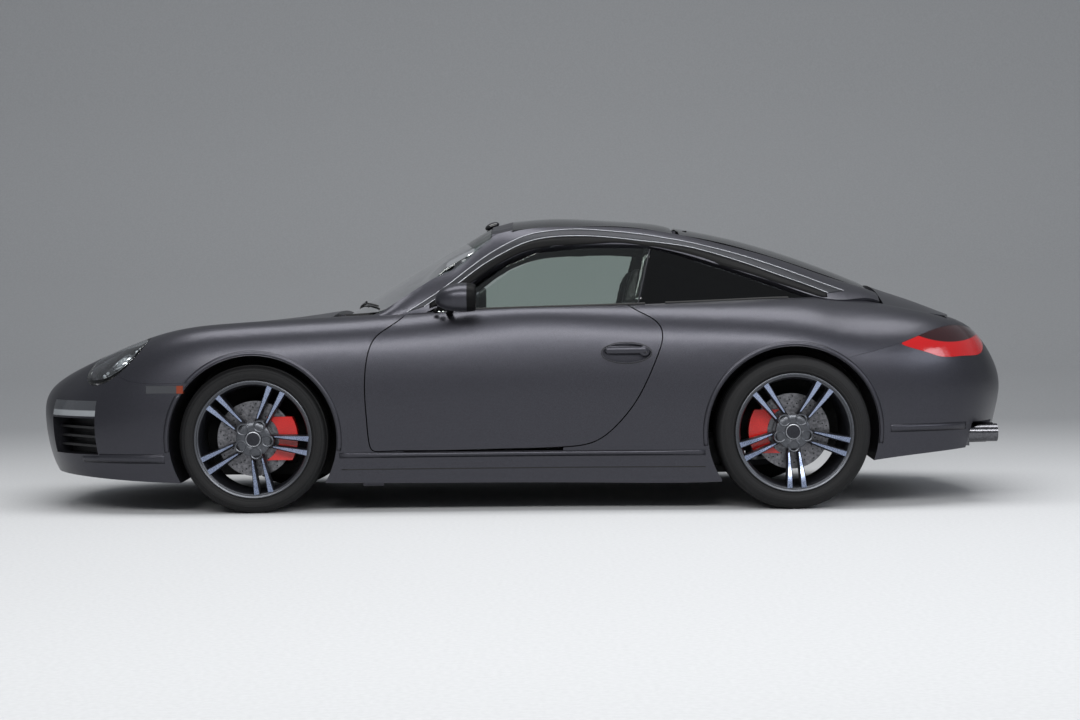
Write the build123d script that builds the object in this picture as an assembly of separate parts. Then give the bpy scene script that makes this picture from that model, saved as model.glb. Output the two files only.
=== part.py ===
# Two-door sports car with a glass roof between long side rails, built as separate panels on a tub.
# Front at -X, left side at -Y, ground at z = 0, all sizes in millimetres.
import os
from math import cos, hypot, radians, sin

from build123d import *

os.makedirs("parts", exist_ok=True)

# Main sizes
WHEELBASE = 2350.0
FRONT_X = -WHEELBASE / 2
REAR_X = WHEELBASE / 2
FRONT_TYRE_R, FRONT_TYRE_W, FRONT_TRACK_Y = 323.5, 235.0, 744.0
REAR_TYRE_R, REAR_TYRE_W, REAR_TRACK_Y = 333.0, 305.0, 774.0
FRONT_ARCH_R, REAR_ARCH_R = 366.0, 374.0
SEAT = 0.3
SHUT = 5.0
SEAM = 0.4
NOSE_FOCUS, TAIL_FOCUS = -1250.0, 1350.0
CORE_R = 250.0
GUTTER = 70.0
TRUNK_Y, TUB_Y, HIP_Y, WING_Y = 450.0, 600.0, 590.0, 645.0
NOSE_WALL_X, TAIL_WALL_X = -1900.0, 1900.0
SILL_TOP = 262.0
DOOR_INNER_Y = 745.0

# Body side sections: focus x, turn from the nose in degrees, then (reach, height) at each level:
# seam, crown, shoulder, waist, low and hem
LEVEL_PARAMETERS = (0.0, 0.14, 0.32, 0.54, 0.76, 1.0)
BODY_SECTIONS = (
    (NOSE_FOCUS, 0, (785, 620), (880, 574), (940, 514), (967, 425), (955, 290), (910, 165)),
    (NOSE_FOCUS, 28, (805, 650), (915, 602), (985, 525), (1015, 430), (1003, 290), (955, 162)),
    (NOSE_FOCUS, 52, (690, 733), (805, 733), (922, 625), (985, 455), (980, 290), (940, 150)),
    (NOSE_FOCUS, 72, (631, 792), (745, 808), (852, 735), (908, 560), (914, 380), (898, 138)),
    (FRONT_X, 90, (628, 818), (735, 834), (835, 775), (884, 620), (888, 430), (878, 135)),
    (-760.0, 90, (668, 850), (745, 848), (832, 775), (870, 600), (868, 420), (850, 130)),
    (-200.0, 90, (768, 878), (803, 850), (842, 770), (868, 600), (862, 420), (845, 125)),
    (350.0, 90, (772, 890), (815, 860), (858, 775), (882, 600), (876, 420), (855, 120)),
    (800.0, 90, (748, 902), (815, 872), (885, 785), (914, 620), (914, 430), (893, 120)),
    (REAR_X, 90, (712, 914), (805, 872), (895, 775), (926, 630), (925, 450), (905, 150)),
    (TAIL_FOCUS, 112, (631, 890), (740, 850), (850, 765), (915, 620), (915, 430), (885, 222)),
    (TAIL_FOCUS, 135, (750, 832), (820, 806), (890, 745), (945, 600), (938, 430), (903, 245)),
    (TAIL_FOCUS, 158, (660, 820), (740, 785), (820, 712), (895, 560), (886, 410), (855, 258)),
    (TAIL_FOCUS, 180, (640, 812), (715, 780), (790, 708), (863, 555), (856, 410), (832, 262)),
)


def fan_point(focus, turn, reach, height):
    angle = radians(turn)
    return Vector(focus - reach * cos(angle), reach * sin(angle), height)


def body_section(row, inset):
    focus, turn, *levels = row
    skin = []
    for number, (reach, height) in enumerate(levels):
        before = levels[max(number - 1, 0)]
        after = levels[min(number + 1, len(levels) - 1)]
        run, rise = after[0] - before[0], after[1] - before[1]
        length = hypot(run, rise)
        skin.append((reach + inset * rise / length, height - inset * run / length))
    seam, hem = skin[0], skin[-1]
    ledge = seam[1] - GUTTER
    corners = (hem, (CORE_R, hem[1]), (CORE_R, ledge), (seam[0], ledge), seam)
    edges = [Edge.make_spline([fan_point(focus, turn, *p) for p in skin], parameters=LEVEL_PARAMETERS)]
    for start, end in zip(corners, corners[1:]):
        edges.append(Edge.make_line(fan_point(focus, turn, *start), fan_point(focus, turn, *end)))
    return Wire(edges)


def outside_section(row):
    focus, turn, (reach, height), *others = row
    near, far = reach - SHUT, reach + 260
    low, high = height - GUTTER, height + 90
    corners = [(near, low), (near, high), (far, high), (far, low)]
    return Wire.make_polygon([fan_point(focus, turn, *p) for p in corners])


def block(x0, x1, y0, y1, z0, z1):
    return Pos((x0 + x1) / 2, (y0 + y1) / 2, (z0 + z1) / 2) * Box(x1 - x0, y1 - y0, z1 - z0)


def across(x, z, radius, y0, y1):
    return Pos(x, (y0 + y1) / 2, z) * Rot(90, 0, 0) * Cylinder(radius, y1 - y0)


def upright(x, y, radius, z0, z1):
    return Pos(x, y, (z0 + z1) / 2) * Cylinder(radius, z1 - z0)


def side_plate(points, y0, y1):
    outline = Wire.make_polygon([Vector(x, y0, z) for x, z in points])
    return extrude(Face(outline), y1 - y0, dir=(0, 1, 0))


def plan_plate(points, z0, z1):
    outline = Wire.make_polygon([Vector(x, y, z0) for x, y in points])
    return extrude(Face(outline), z1 - z0, dir=(0, 0, 1))


def smooth_plate(points, y0, y1):
    outline = Edge.make_spline([Vector(x, y0, z) for x, z in points], periodic=True)
    return extrude(Face(Wire([outline])), y1 - y0, dir=(0, 1, 0))


def grown(points, distance):
    count = len(points)
    area = sum(points[i - 1][0] * points[i][1] - points[i][0] * points[i - 1][1] for i in range(count))
    turn = 1.0 if area > 0 else -1.0
    moved = []
    for i in range(count):
        run = points[(i + 1) % count][0] - points[i - 1][0]
        rise = points[(i + 1) % count][1] - points[i - 1][1]
        step = turn * distance / hypot(run, rise)
        moved.append((points[i][0] + step * rise, points[i][1] - step * run))
    return moved


def mirrored(shape):
    return mirror(shape, about=Plane.XZ)


def solids_of(shape):
    return list(shape.solids())


def both(shape):
    right = solids_of(shape)
    return right + [mirrored(s) for s in right]


def joined(first, *others):
    whole = first
    for other in others:
        whole = whole + other
    return whole


def save(name, *shapes):
    found = []
    for shape in shapes:
        found.extend(shape if isinstance(shape, list) else solids_of(shape))
    export_step(found[0] if len(found) == 1 else Compound(children=found), f"parts/{name}.step")


# Body side volume, right half
def twins(found, whole):
    return tuple((row[0], whole - row[1], *row[2:]) for row in found)


rows = (*twins(BODY_SECTIONS[2:0:-1], 0), *BODY_SECTIONS, *twins(BODY_SECTIONS[-2:-4:-1], 360))
right_half = block(-3000, 3000, 0, 2000, -100, 2000)
core = Solid.make_loft([body_section(row, 0.0) for row in rows]) & right_half
SKIN_LIP = 4.0
inner_core = Solid.make_loft([body_section(row, SKIN_LIP) for row in rows])
lid_room = Solid.make_loft([outside_section(row) for row in rows])
front_well = across(FRONT_X, FRONT_TYRE_R, FRONT_ARCH_R, TRUNK_Y, 1100)
rear_well = across(REAR_X, REAR_TYRE_R, REAR_ARCH_R, HIP_Y, 1100)

# Panel outlines in the side view
DOOR_OUTLINE = (
    (-520, 846), (-585, 800), (-640, 755), (-668, 690), (-681, 600), (-682, 500), (-676, 400), (-668, 310),
    (-655, 274), (-615, 268), (-400, 269), (-100, 273), (186, 280), (313, 303), (418, 384), (490, 475),
    (546, 580), (590, 685), (608, 755), (600, 795), (570, 828), (500, 866), (380, 960), (-380, 960),
)
BUMPER_LINE = (
    (-1380, 573), (-1447, 573), (-1627, 570), (-1720, 580),
    (-1800, 615), (-1870, 660), (-1960, 720), (-2400, 760),
)
TAIL_LINE = ((1340, 640), (1373, 645), (1520, 678), (1670, 717), (1800, 728), (2400, 728))


def below_line(line, shift):
    points = [(x, z + shift) for x, z in line]
    return side_plate(points + [(points[-1][0], -50), (points[0][0], -50)], -10, 1100)


# Doors
HINGE_X, HINGE_Y = -560.0, 800.0
PIN_R, PIN_PLAY = 9.0, 0.3
door_cut = smooth_plate(DOOR_OUTLINE, 300, 1100)
door_gap = smooth_plate(grown(DOOR_OUTLINE, SHUT), 300, 1100)
door_swing = smooth_plate(grown(DOOR_OUTLINE, 32.0), 300, 1100) & inner_core
door_room = block(-700, 640, 300, 1100, SILL_TOP + 6, 1000)
door = core & block(-800, 800, DOOR_INNER_Y, 1100, 200, 1000) & door_cut
for bore_z0, bore_z1 in ((200, 310), (770, 900)):
    door = door - upright(HINGE_X, HINGE_Y, PIN_R + PIN_PLAY, bore_z0, bore_z1)
HANDLE_X, HANDLE_Z = 453.0, 684.0
handle_bowl = Pos(HANDLE_X, 892, HANDLE_Z) * Rot(90, 0, 0) * extrude(Ellipse(105, 42), 30, both=True)
handle = block(HANDLE_X - 85, HANDLE_X + 85, 855, 880, HANDLE_Z - 2, HANDLE_Z + 26)
door = door - handle_bowl + handle
save("door_right", door)
save("door_left", mirrored(door))

# Front wings
fender = (core & block(-2100, -480, TRUNK_Y, 1100, SILL_TOP + SEAM, 900)) - below_line(BUMPER_LINE, SEAM)
fender = fender - front_well - block(-800, 0, 0, WING_Y, 0, 1000) - door_gap
fender = fender - (door_swing & block(-760, -300, DOOR_INNER_Y - 160, 1100, SILL_TOP - 5, 800))
fender = fender - block(-520, 0, 0, 1100, 0, 1000)

# Headlamps
LAMP_X, LAMP_Y, LAMP_Z = -1762.0, 650.0, 640.0
LAMP_AXIS = Vector(-0.56, 0.30, 0.77)
LAMP_LONG, LAMP_WIDE = 172.0, 118.0
lamp_plane = Plane(origin=(LAMP_X, LAMP_Y, LAMP_Z), x_dir=(0.80, 0.0, 0.58), z_dir=LAMP_AXIS)


def lamp_plug(extra, depth):
    face = lamp_plane * Ellipse(LAMP_LONG + extra, LAMP_WIDE + extra)
    return extrude(face, 200, dir=LAMP_AXIS) + extrude(face, depth, dir=-LAMP_AXIS)


headlamp = core & lamp_plug(0.0, 90.0)
lamp_hole = lamp_plug(0.8, 90.8)
fender = fender - lamp_hole

# Front bumper with its corner and middle intakes
bumper_half = (core & below_line(BUMPER_LINE, -SEAM) & block(-2400, -1400, -10, 1100, 0, 900)) - front_well
bumper_half = bumper_half - block(NOSE_WALL_X, 0, -10, TRUNK_Y, 0, 1000) - lamp_hole
CORNER_TURN, CORNER_REACH = 41.0, 900.0
corner_spot = fan_point(NOSE_FOCUS, CORNER_TURN, CORNER_REACH, 0)


def corner_block(depth0, depth1, half_width, z0, z1):
    shape = block(depth0, depth1, -half_width, half_width, z0, z1)
    return Pos(corner_spot.X, corner_spot.Y, 0) * Rot(0, 0, 180 - CORNER_TURN) * shape


intake_room = corner_block(0, 300, 165, 258, 418)
day_lamp_room = corner_block(30, 300, 165, 426, 496)
bumper_half = bumper_half - intake_room - day_lamp_room
# Side markers on the bumper ends
marker_room = block(-1640, -1472, 840, 1100, 527, 562)
marker = core & block(-1639.3, -1472.7, 840.3, 1100, 527.7, 561.3)
middle_room = block(-2400, -2110, -10, 330, 215, 330)
bumper_half = bumper_half - middle_room - marker_room
bumper = bumper_half + mirrored(bumper_half)
save("front_bumper", bumper)
day_lamp = core & corner_block(30, 300, 164.2, 426.8, 495.2)
save("day_lamps", both(day_lamp))
corner_slats = [corner_block(6, 60, 164.5, z, z + 10) for z in (290, 330, 370)]
corner_grille = joined(corner_block(0, 8, 164.5, 258.5, 417.5), *corner_slats)
middle_grille = block(-2118, -2110.3, -329.5, 329.5, 215.5, 329.5)
middle_slats = [block(-2150, -2116, -329.5, 329.5, z, z + 8) for z in (240, 268, 296)]
middle_grille = joined(middle_grille, *middle_slats)
save("front_grilles", both(corner_grille), middle_grille)
save("headlamps", both(headlamp))

# Sills
sill = core & block(-860, 860, TUB_Y, 1100, 0, SILL_TOP)
sill = sill - front_well - rear_well + upright(HINGE_X, HINGE_Y, PIN_R, SILL_TOP - 20, SILL_TOP + 40)
JACK_X, JACK_Y, JACK_Z = 660.0, 720.0, 108.0
for jack_x in (-JACK_X, JACK_X):
    sill = sill + block(jack_x - 45, jack_x + 45, JACK_Y - 35, JACK_Y + 35, JACK_Z, JACK_Z + 40)
save("sills", both(sill))

# Upper hinge pin on the wing
fender = fender + (upright(HINGE_X, HINGE_Y, PIN_R, 780, 843) & inner_core)
save("front_wings", both(fender))

# Rear quarters and tail lamps
TAIL_LAMP = (
    (1662, 716), (1760, 752), (1900, 786), (2010, 775), (2080, 735),
    (2060, 672), (1960, 652), (1840, 650), (1740, 680),
)
LAMP_INNER_Y = 430.0
tail_lamp_cut = smooth_plate(TAIL_LAMP, LAMP_INNER_Y, 1100)
tail_lamp_gap = smooth_plate(grown(TAIL_LAMP, 0.8), LAMP_INNER_Y - 0.8, 1100)
tail_lamp = (core & tail_lamp_cut) - block(0, TAIL_WALL_X + 0.5, -10, HIP_Y + 0.5, 0, 1000)
quarter = core & block(150, 2400, LAMP_INNER_Y + SEAM, 1100, SILL_TOP + SEAM, 1000)
quarter = quarter - below_line(TAIL_LINE, SEAM)
quarter = quarter - block(0, TAIL_WALL_X, -10, HIP_Y, 0, 1000) - rear_well - door_gap - tail_lamp_gap
quarter = quarter - block(0, 612, 0, DOOR_INNER_Y - 60, 0, 1000) - block(-100, 175, 0, 1100, 0, 1000)
save("rear_quarters", both(quarter))

# Rear bumper
rear_half = core & below_line(TAIL_LINE, -SEAM) & block(1340 + SEAM, 2400, -10, 1100, 0, 900)
rear_half = rear_half + (core & block(1950, 2400, -10, LAMP_INNER_Y - SEAM, 600, 900))
rear_half = rear_half - rear_well - block(0, TAIL_WALL_X, -10, HIP_Y, 0, 1000) - tail_lamp_gap
STRIP_Z0, STRIP_Z1 = 690.0, 742.0
strip_room = block(2090, 2400, -10, LAMP_INNER_Y - 6, STRIP_Z0, STRIP_Z1)
strip = core & block(2090.3, 2400, -10, LAMP_INNER_Y - 6.8, STRIP_Z0 + 0.8, STRIP_Z1 - 0.8)
strip = strip + mirrored(strip)
PIPE_Y, PIPE_Z, PIPE_STEP, PIPE_R = 560.0, 305.0, 86.0, 40.0
pipe_room = block(1890, 2400, PIPE_Y - 105, PIPE_Y + 105, 200, PIPE_Z + 52)
rear_half = rear_half - strip_room - pipe_room
save("rear_bumper", rear_half + mirrored(rear_half))
save("tail_lamps", both(tail_lamp), strip)

# Lids and roof by loft of arcs across the car
EDGE_Y = 700.0


def arc_section(x, middle, edge, edge_y, thick):
    left, centre, right = Vector(x, -edge_y, edge), Vector(x, 0, middle), Vector(x, edge_y, edge)
    down = Vector(0, 0, -thick)
    top = Edge.make_three_point_arc(left, centre, right)
    low = Edge.make_three_point_arc(left + down, centre + down, right + down)
    return Wire([top, low, Edge.make_line(left, left + down), Edge.make_line(right, right + down)])


def arc_loft(table, edge_y, thick):
    return Solid.make_loft([arc_section(x, middle, edge, edge_y, thick) for x, middle, edge in table])


# Lid rows: x, middle height, edge height
BONNET_THICK = 25.0
BONNET_ROWS = (
    (-2100, 592, 552), (-1961, 655, 635), (-1675, 752, 721), (-1445, 808, 786),
    (FRONT_X, 840, 810), (-960, 864, 831), (-760, 886, 846),
)
BONNET_BACK_X, BONNET_AXIS_X, BONNET_AXIS_Z = -838.0, -800.0, 848.0
BONNET_LUG_Y, BONNET_PIN_R = 580.0, 6.0
bonnet_half = arc_loft(BONNET_ROWS, EDGE_Y, BONNET_THICK) & block(-2060, BONNET_BACK_X, 0, EDGE_Y, 0, 1500)
bonnet_half = bonnet_half - lid_room
bonnet_half = max(solids_of(bonnet_half), key=lambda s: s.volume)
bonnet = bonnet_half + mirrored(bonnet_half)
for side in (-1, 1):
    spot = side * BONNET_LUG_Y
    lug = block(-900, BONNET_AXIS_X, spot - 12, spot + 12, BONNET_AXIS_Z - 14, BONNET_AXIS_Z - 4)
    eye = across(BONNET_AXIS_X, BONNET_AXIS_Z, 14, spot - 12, spot + 12)
    bore = across(BONNET_AXIS_X, BONNET_AXIS_Z, BONNET_PIN_R + PIN_PLAY, spot - 40, spot + 40)
    bonnet = bonnet + lug + eye - bore
save("bonnet", bonnet)
save("side_markers", both(marker))

# Cowl, with the bonnet's hinge pins
COWL_FRONT_X, COWL_SEAT_Z = -828.0, 780.0
COWL_BACK_X = -650.0
cowl_top = [(COWL_FRONT_X, 838), (-815, 861.3), (COWL_BACK_X, 871.1)]
cowl_shape = [(COWL_FRONT_X, COWL_SEAT_Z), *cowl_top, (COWL_BACK_X, COWL_SEAT_Z)]
cowl = side_plate(cowl_shape, -595, 595)
for side in (-1, 1):
    spot = side * BONNET_LUG_Y
    slot = block(-860, -770, spot - 18, spot + 18, 815, 900)
    pin = across(BONNET_AXIS_X, BONNET_AXIS_Z, BONNET_PIN_R, spot - 34, spot + 34)
    ears = [block(-812, -788, spot + e - 8, spot + e + 8, 800, 856) for e in (-26, 26)]
    cowl = joined(cowl - slot, *ears, pin)

# Windscreen: outer corner (x, y, z) and middle (x, z) of each arc from foot to top
SCREEN_THICK = 8.0
SCREEN_ROWS = (
    ((-640, 684, 872), (-808, 862)),
    ((-350, 668, 990), (-478, 1066)),
    ((-134, 588, 1136), (-138, 1262)),
)


def screen_section(corner, middle):
    left, right = Vector(corner[0], -corner[1], corner[2]), Vector(*corner)
    centre = Vector(middle[0], 0, middle[1])
    inward = Vector(corner[0] - middle[0], 0, corner[2] - middle[1]).normalized() * SCREEN_THICK
    top = Edge.make_three_point_arc(left, centre, right)
    low = Edge.make_three_point_arc(left + inward, centre + inward, right + inward)
    return Wire([top, low, Edge.make_line(left, left + inward), Edge.make_line(right, right + inward)])


windscreen = Solid.make_loft([screen_section(*row) for row in SCREEN_ROWS])

# Roof frame: side rails from screen foot to tail as x, low y, low z, top y, top z, then the cross pieces
RAIL_DEEP = 32.0
RAIL_ROWS = (
    (-660, 728, 852, 694, 872),
    (-344, 728, 908, 680, 985),
    (-217, 688, 996, 638, 1072),
    (-80, 638, 1088, 578, 1170),
    (59, 608, 1143, 535, 1222),
    (300, 598, 1163, 515, 1245),
    (525, 598, 1158, 515, 1235),
    (944, 628, 1045, 500, 1150),
    (1150, 652, 976, 488, 1092),
    (1330, 668, 915, 475, 1028),
    (1460, 630, 906, 460, 985),
    (1600, 578, 895, 445, 936),
)


def rail_section(x, low_y, low_z, top_y, top_z):
    run, rise = top_y - low_y, top_z - low_z
    length = hypot(run, rise)
    out_y, out_z = rise / length, -run / length
    bulge = 0.07 * length
    low, top = Vector(x, low_y, low_z), Vector(x, top_y, top_z)
    middle = Vector(x, (low_y + top_y) / 2 + bulge * out_y, (low_z + top_z) / 2 + bulge * out_z)
    low_back = low + Vector(0, -RAIL_DEEP * out_y, -RAIL_DEEP * out_z)
    top_back = top + Vector(0, -2, -RAIL_DEEP)
    skin = Edge.make_three_point_arc(low, middle, top)
    inside = Edge.make_line(top_back, low_back)
    return Wire([skin, Edge.make_line(top, top_back), inside, Edge.make_line(low_back, low)])


rail = Solid.make_loft([rail_section(*row) for row in RAIL_ROWS])
HEADER_X0, HEADER_X1 = -132.0, -40.0
BAR_X0, BAR_X1 = 640.0, 688.0
BAR_THICK = 34.0


def cross_bar(start, end, half_width):
    return arc_loft((start, end), half_width, BAR_THICK)


header = cross_bar((HEADER_X0, 1265, 1152), (HEADER_X1, 1289, 1186), 570)
bar = cross_bar((BAR_X0 - 12, 1230, 1184), (BAR_X1, 1216, 1172), 518)
tail_bar = cross_bar((1520, 966, 925), (1588, 938, 897), 470)
SHELF_Z = 700.0
tail_foot = block(1470, 1540, 470, 560, SHELF_Z, 940)
frame_half = rail + (tail_foot & plan_plate([(1400, 300), (1700, 300), (1700, 585), (1400, 585)], 0, 925))

# Glass in the roof
GLASS = 6.0
DROP_Y = 600.0
# Roof panes: x, middle height, fall of the arc at DROP_Y, half width
ROOF_GLASS_ROWS = (
    (HEADER_X1 + SEAT, 1289.5, 115, 559), (59, 1298, 95, 529), (157, 1302, 86, 517), (300, 1297, 70, 509),
    (532, 1281, 62, 508), (BAR_X0 + 40, 1257, 66, 502),
)
HATCH_ROWS = ((712, 1251, 67, 500), (1019, 1186, 76, 487), (1363, 1074, 89, 462), (1560, 993, 78, 438))


def pane_loft(table):
    return Solid.make_loft([arc_section(x, m, m - d * (w / DROP_Y) ** 2, w, GLASS) for x, m, d, w in table])


HATCH_AXIS_X, HATCH_AXIS_Z, HATCH_LUG_Y = 698.0, 1222.0, 300.0
LID_PIN_R = 5.0
roof_glass = pane_loft(ROOF_GLASS_ROWS)
hatch = pane_loft(HATCH_ROWS)
for side in (-1, 1):
    spot = side * HATCH_LUG_Y
    arm = block(HATCH_AXIS_X, HATCH_AXIS_X + 60, spot - 12, spot + 12, HATCH_AXIS_Z - 5, HATCH_AXIS_Z + 5)
    riser = block(HATCH_AXIS_X + 40, HATCH_AXIS_X + 60, spot - 12, spot + 12, HATCH_AXIS_Z - 5, HATCH_AXIS_Z + 8)
    eye = across(HATCH_AXIS_X, HATCH_AXIS_Z, 12, spot - 12, spot + 12)
    bore = across(HATCH_AXIS_X, HATCH_AXIS_Z, LID_PIN_R + PIN_PLAY, spot - 40, spot + 40)
    hatch = hatch + arm + riser + eye - bore
    bar = bar - block(HATCH_AXIS_X - 20, 800, spot - 18, spot + 18, 1100, 1400)
    pin = across(HATCH_AXIS_X, HATCH_AXIS_Z, LID_PIN_R, spot - 30, spot + 30)
    ear_z0, ear_z1 = HATCH_AXIS_Z - 14, HATCH_AXIS_Z + 6
    ears = [block(BAR_X1 - 30, HATCH_AXIS_X + 6, spot + e - 6, spot + e + 6, ear_z0, ear_z1) for e in (-24, 24)]
    bar = joined(bar, *ears, pin)
save("rear_hatch", hatch)

# Side glass rows: x, low y, top y
PANE = 5.0
SIDE_GLASS_ROWS = (
    (-660, 748, 554), (-200, 764, 570), (350, 766, 572),
    (600, 760, 566), (944, 735, 538), (1345, 697, 500),
)
PANE_Z0, PANE_Z1 = 800.0, 1190.0


def pane_section(x, low_y, top_y):
    slope = (low_y - top_y) / 340.0
    low, top = Vector(x, low_y + slope * 50, PANE_Z0), Vector(x, top_y, PANE_Z1)
    middle = Vector(x, (low.Y + top.Y) / 2 + 9, (PANE_Z0 + PANE_Z1) / 2)
    inward = Vector(0, -PANE, -PANE * slope)
    skin = Edge.make_three_point_arc(low, middle, top)
    back = Edge.make_three_point_arc(low + inward, middle + inward, top + inward)
    return Wire([skin, Edge.make_line(top, top + inward), back, Edge.make_line(low + inward, low)])


side_pane = Solid.make_loft([pane_section(*row) for row in SIDE_GLASS_ROWS])
DOOR_GLASS = (
    (-440, 846), (-322, 892), (-200, 978), (-70, 1068), (62, 1126),
    (300, 1148), (568, 1142), (500, 846), (496, 790), (-460, 790),
)
REAR_WINDOW = (
    (520, 892), (580, 1140), (700, 1108), (944, 1028),
    (1285, 905), (1200, 835), (650, 835), (622, 874),
)
door_glass = (side_pane & side_plate(DOOR_GLASS, 300, 900)) - door
rear_window = (side_pane & side_plate(REAR_WINDOW, 300, 900)) - quarter
door_glass = max(solids_of(door_glass), key=lambda s: s.volume)
rear_window = max(solids_of(rear_window), key=lambda s: s.volume)
save("door_glass_right", door_glass)
save("door_glass_left", mirrored(door_glass))

# Mirrors
mirror_head = fillet(block(-368, -192, 800, 972, 878, 986).edges(), 32)
mirror_arm = block(-345, -255, 776, 850, 842, 905)
door_mirror = (mirror_head + mirror_arm) - door
door_mirror = max(solids_of(door_mirror), key=lambda s: s.volume)
save("mirror_right", door_mirror)
save("mirror_left", mirrored(door_mirror))

# Engine lid
LID_THICK = 25.0
LID_ROWS = (
    (1560, 1000, 842), (1620, 972, 838), (1760, 922, 820),
    (1880, 876, 798), (1962, 842, 778), (2020, 824, 758),
)
LID_X0 = 1618.0
LID_AXIS_X, LID_AXIS_Z, LID_LUG_Y = 1602.0, 948.0, 140.0
lid_half = (arc_loft(LID_ROWS, EDGE_Y, LID_THICK) & block(LID_X0, 2010, 0, 640, 0, 1500)) - lid_room
lid_half = max(solids_of(lid_half), key=lambda s: s.volume)
lid = lid_half + mirrored(lid_half)
for side in (-1, 1):
    spot = side * LID_LUG_Y
    arm = block(LID_AXIS_X, LID_X0 + 30, spot - 12, spot + 12, LID_AXIS_Z - 6, LID_AXIS_Z + 4)
    eye = across(LID_AXIS_X, LID_AXIS_Z, 11, spot - 12, spot + 12)
    bore = across(LID_AXIS_X, LID_AXIS_Z, LID_PIN_R + PIN_PLAY, spot - 40, spot + 40)
    lid = lid + arm + eye - bore
    pin = across(LID_AXIS_X, LID_AXIS_Z, LID_PIN_R, spot - 30, spot + 30)
    ear_z0, ear_z1 = LID_AXIS_Z - 20, LID_AXIS_Z + 6
    ears = [block(1560, LID_AXIS_X + 6, spot + e - 6, spot + e + 6, ear_z0, ear_z1) for e in (-24, 24)]
    tail_bar = joined(tail_bar - block(1584, 1640, spot - 18, spot + 18, 700, 1400), *ears, pin)
save("engine_lid", lid)
frame_half = (frame_half - fender - quarter).fuse(header, bar, tail_bar)
roof_frame = frame_half.fuse(mirrored(frame_half))

# Tub
WALL = 20.0
FLOOR_Z = 140.0
trunk_front = NOSE_WALL_X + SEAT
trunk_top = [(trunk_front, 590), (-1600, 690), (-1300, 745), (-720, 772)]
trunk_side = [(trunk_front, FLOOR_Z), *trunk_top, (-720, FLOOR_Z)]
trunk = side_plate(trunk_side, -TRUNK_Y + SEAT, TRUNK_Y - SEAT)
trunk = trunk - block(NOSE_WALL_X + WALL, -760, -TRUNK_Y + WALL, TRUNK_Y - WALL, 350, 1000)
trunk = trunk - block(NOSE_WALL_X + WALL, -760, -TRUNK_Y + WALL, TRUNK_Y - WALL, 0, 330)
firewall = block(-760, -720, -TUB_Y + SEAT, TUB_Y - SEAT, FLOOR_Z, COWL_SEAT_Z)
floor = block(-760, 940, -TUB_Y + SEAT, TUB_Y - SEAT, FLOOR_Z, FLOOR_Z + 30)
tunnel = block(-760, 940, -140, 140, FLOOR_Z, 400)
rear_wall = block(900, 940, -HIP_Y + SEAT, HIP_Y - SEAT, FLOOR_Z, SHELF_Z)
shelf = block(900, TAIL_WALL_X - SEAT, -HIP_Y + SEAT, HIP_Y - SEAT, SHELF_Z - 20, SHELF_Z)
shelf = shelf - block(1560, TAIL_WALL_X - 30, -540, 540, 0, 1000)
tail_wall = block(TAIL_WALL_X - 20 - SEAT, TAIL_WALL_X - SEAT, -HIP_Y + SEAT, HIP_Y - SEAT, 300, SHELF_Z)
tub = joined(trunk, firewall, floor, tunnel, rear_wall, shelf, tail_wall)
# Engine bay beams: middle y, half width, low z, high z
BAY_BEAMS = ((500, 45, 230, 310), (540, 45, 290, 310), (580, 9.7, 310, SHELF_Z))
for middle_y, half_width, beam_z0, beam_z1 in BAY_BEAMS:
    for side in (-1, 1):
        beam_y = side * middle_y
        tub = tub + block(900, TAIL_WALL_X - SEAT, beam_y - half_width, beam_y + half_width, beam_z0, beam_z1)
save("floor_tub", tub)

save("cowl", cowl)
save("windscreen", windscreen)
save("roof_glass", roof_glass)
save("roof_frame", roof_frame)
save("rear_side_windows", both(rear_window))

# Wheels: one row per axle
WHEEL_ROWS = {
    "front": dict(
        x=FRONT_X, tyre_r=FRONT_TYRE_R, tyre_w=FRONT_TYRE_W, y=FRONT_TRACK_Y, rim_w=227.0, face=57.0, disc_r=165.0,
    ),
    "rear": dict(
        x=REAR_X, tyre_r=REAR_TYRE_R, tyre_w=REAR_TYRE_W, y=REAR_TRACK_Y, rim_w=303.0, face=51.0, disc_r=165.0,
    ),
}
RIM_R, FLANGE_R, BEAD_R = 241.0, 257.0, 241.6
SPINDLE_R, SPINDLE_PLAY = 25.0, 0.3
HUB_R, HUB_LONG, SPOKE_PAIRS = 78.0, 46.0, 5
DISC_THICK, DISC_INNER_R, HAT_R, HAT_GAP = 28.0, 92.0, 84.0, 20.0


def turned(points, x, z):
    # profile points are (radius, y), turned about the axle line through (x, z)
    outline = Wire.make_polygon([Vector(x + r, y, z) for r, y in points])
    return revolve(Face(outline), Axis((x, 0, z), (0, 1, 0)), 360)


def tyre_shape(x, tyre_r, tyre_w, y, rim_w, face, disc_r):
    half, bead = tyre_w / 2, rim_w / 2 - 12.6
    profile = [
        (BEAD_R, y - bead), (FLANGE_R + 1, y - bead), (FLANGE_R + 5, y - half + 4), (290, y - half),
        (tyre_r - 22, y - half + 8), (tyre_r - 5, y - half + 26), (tyre_r, y - half + 48),
        (tyre_r, y + half - 48), (tyre_r - 5, y + half - 26), (tyre_r - 22, y + half - 8), (290, y + half),
        (FLANGE_R + 5, y + half - 4), (FLANGE_R + 1, y + bead), (BEAD_R, y + bead),
        (BEAD_R + 24, y + bead - 14), (BEAD_R + 24, y - bead + 14),
    ]
    return turned(profile, x, tyre_r)


def spoke_section(middle_x, half_width, y0, y1, radius):
    x0, x1 = middle_x - half_width, middle_x + half_width
    corners = ((x0, y0), (x1, y0), (x1, y1), (x0, y1))
    return Wire.make_polygon([Vector(x, y, radius) for x, y in corners])


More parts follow.
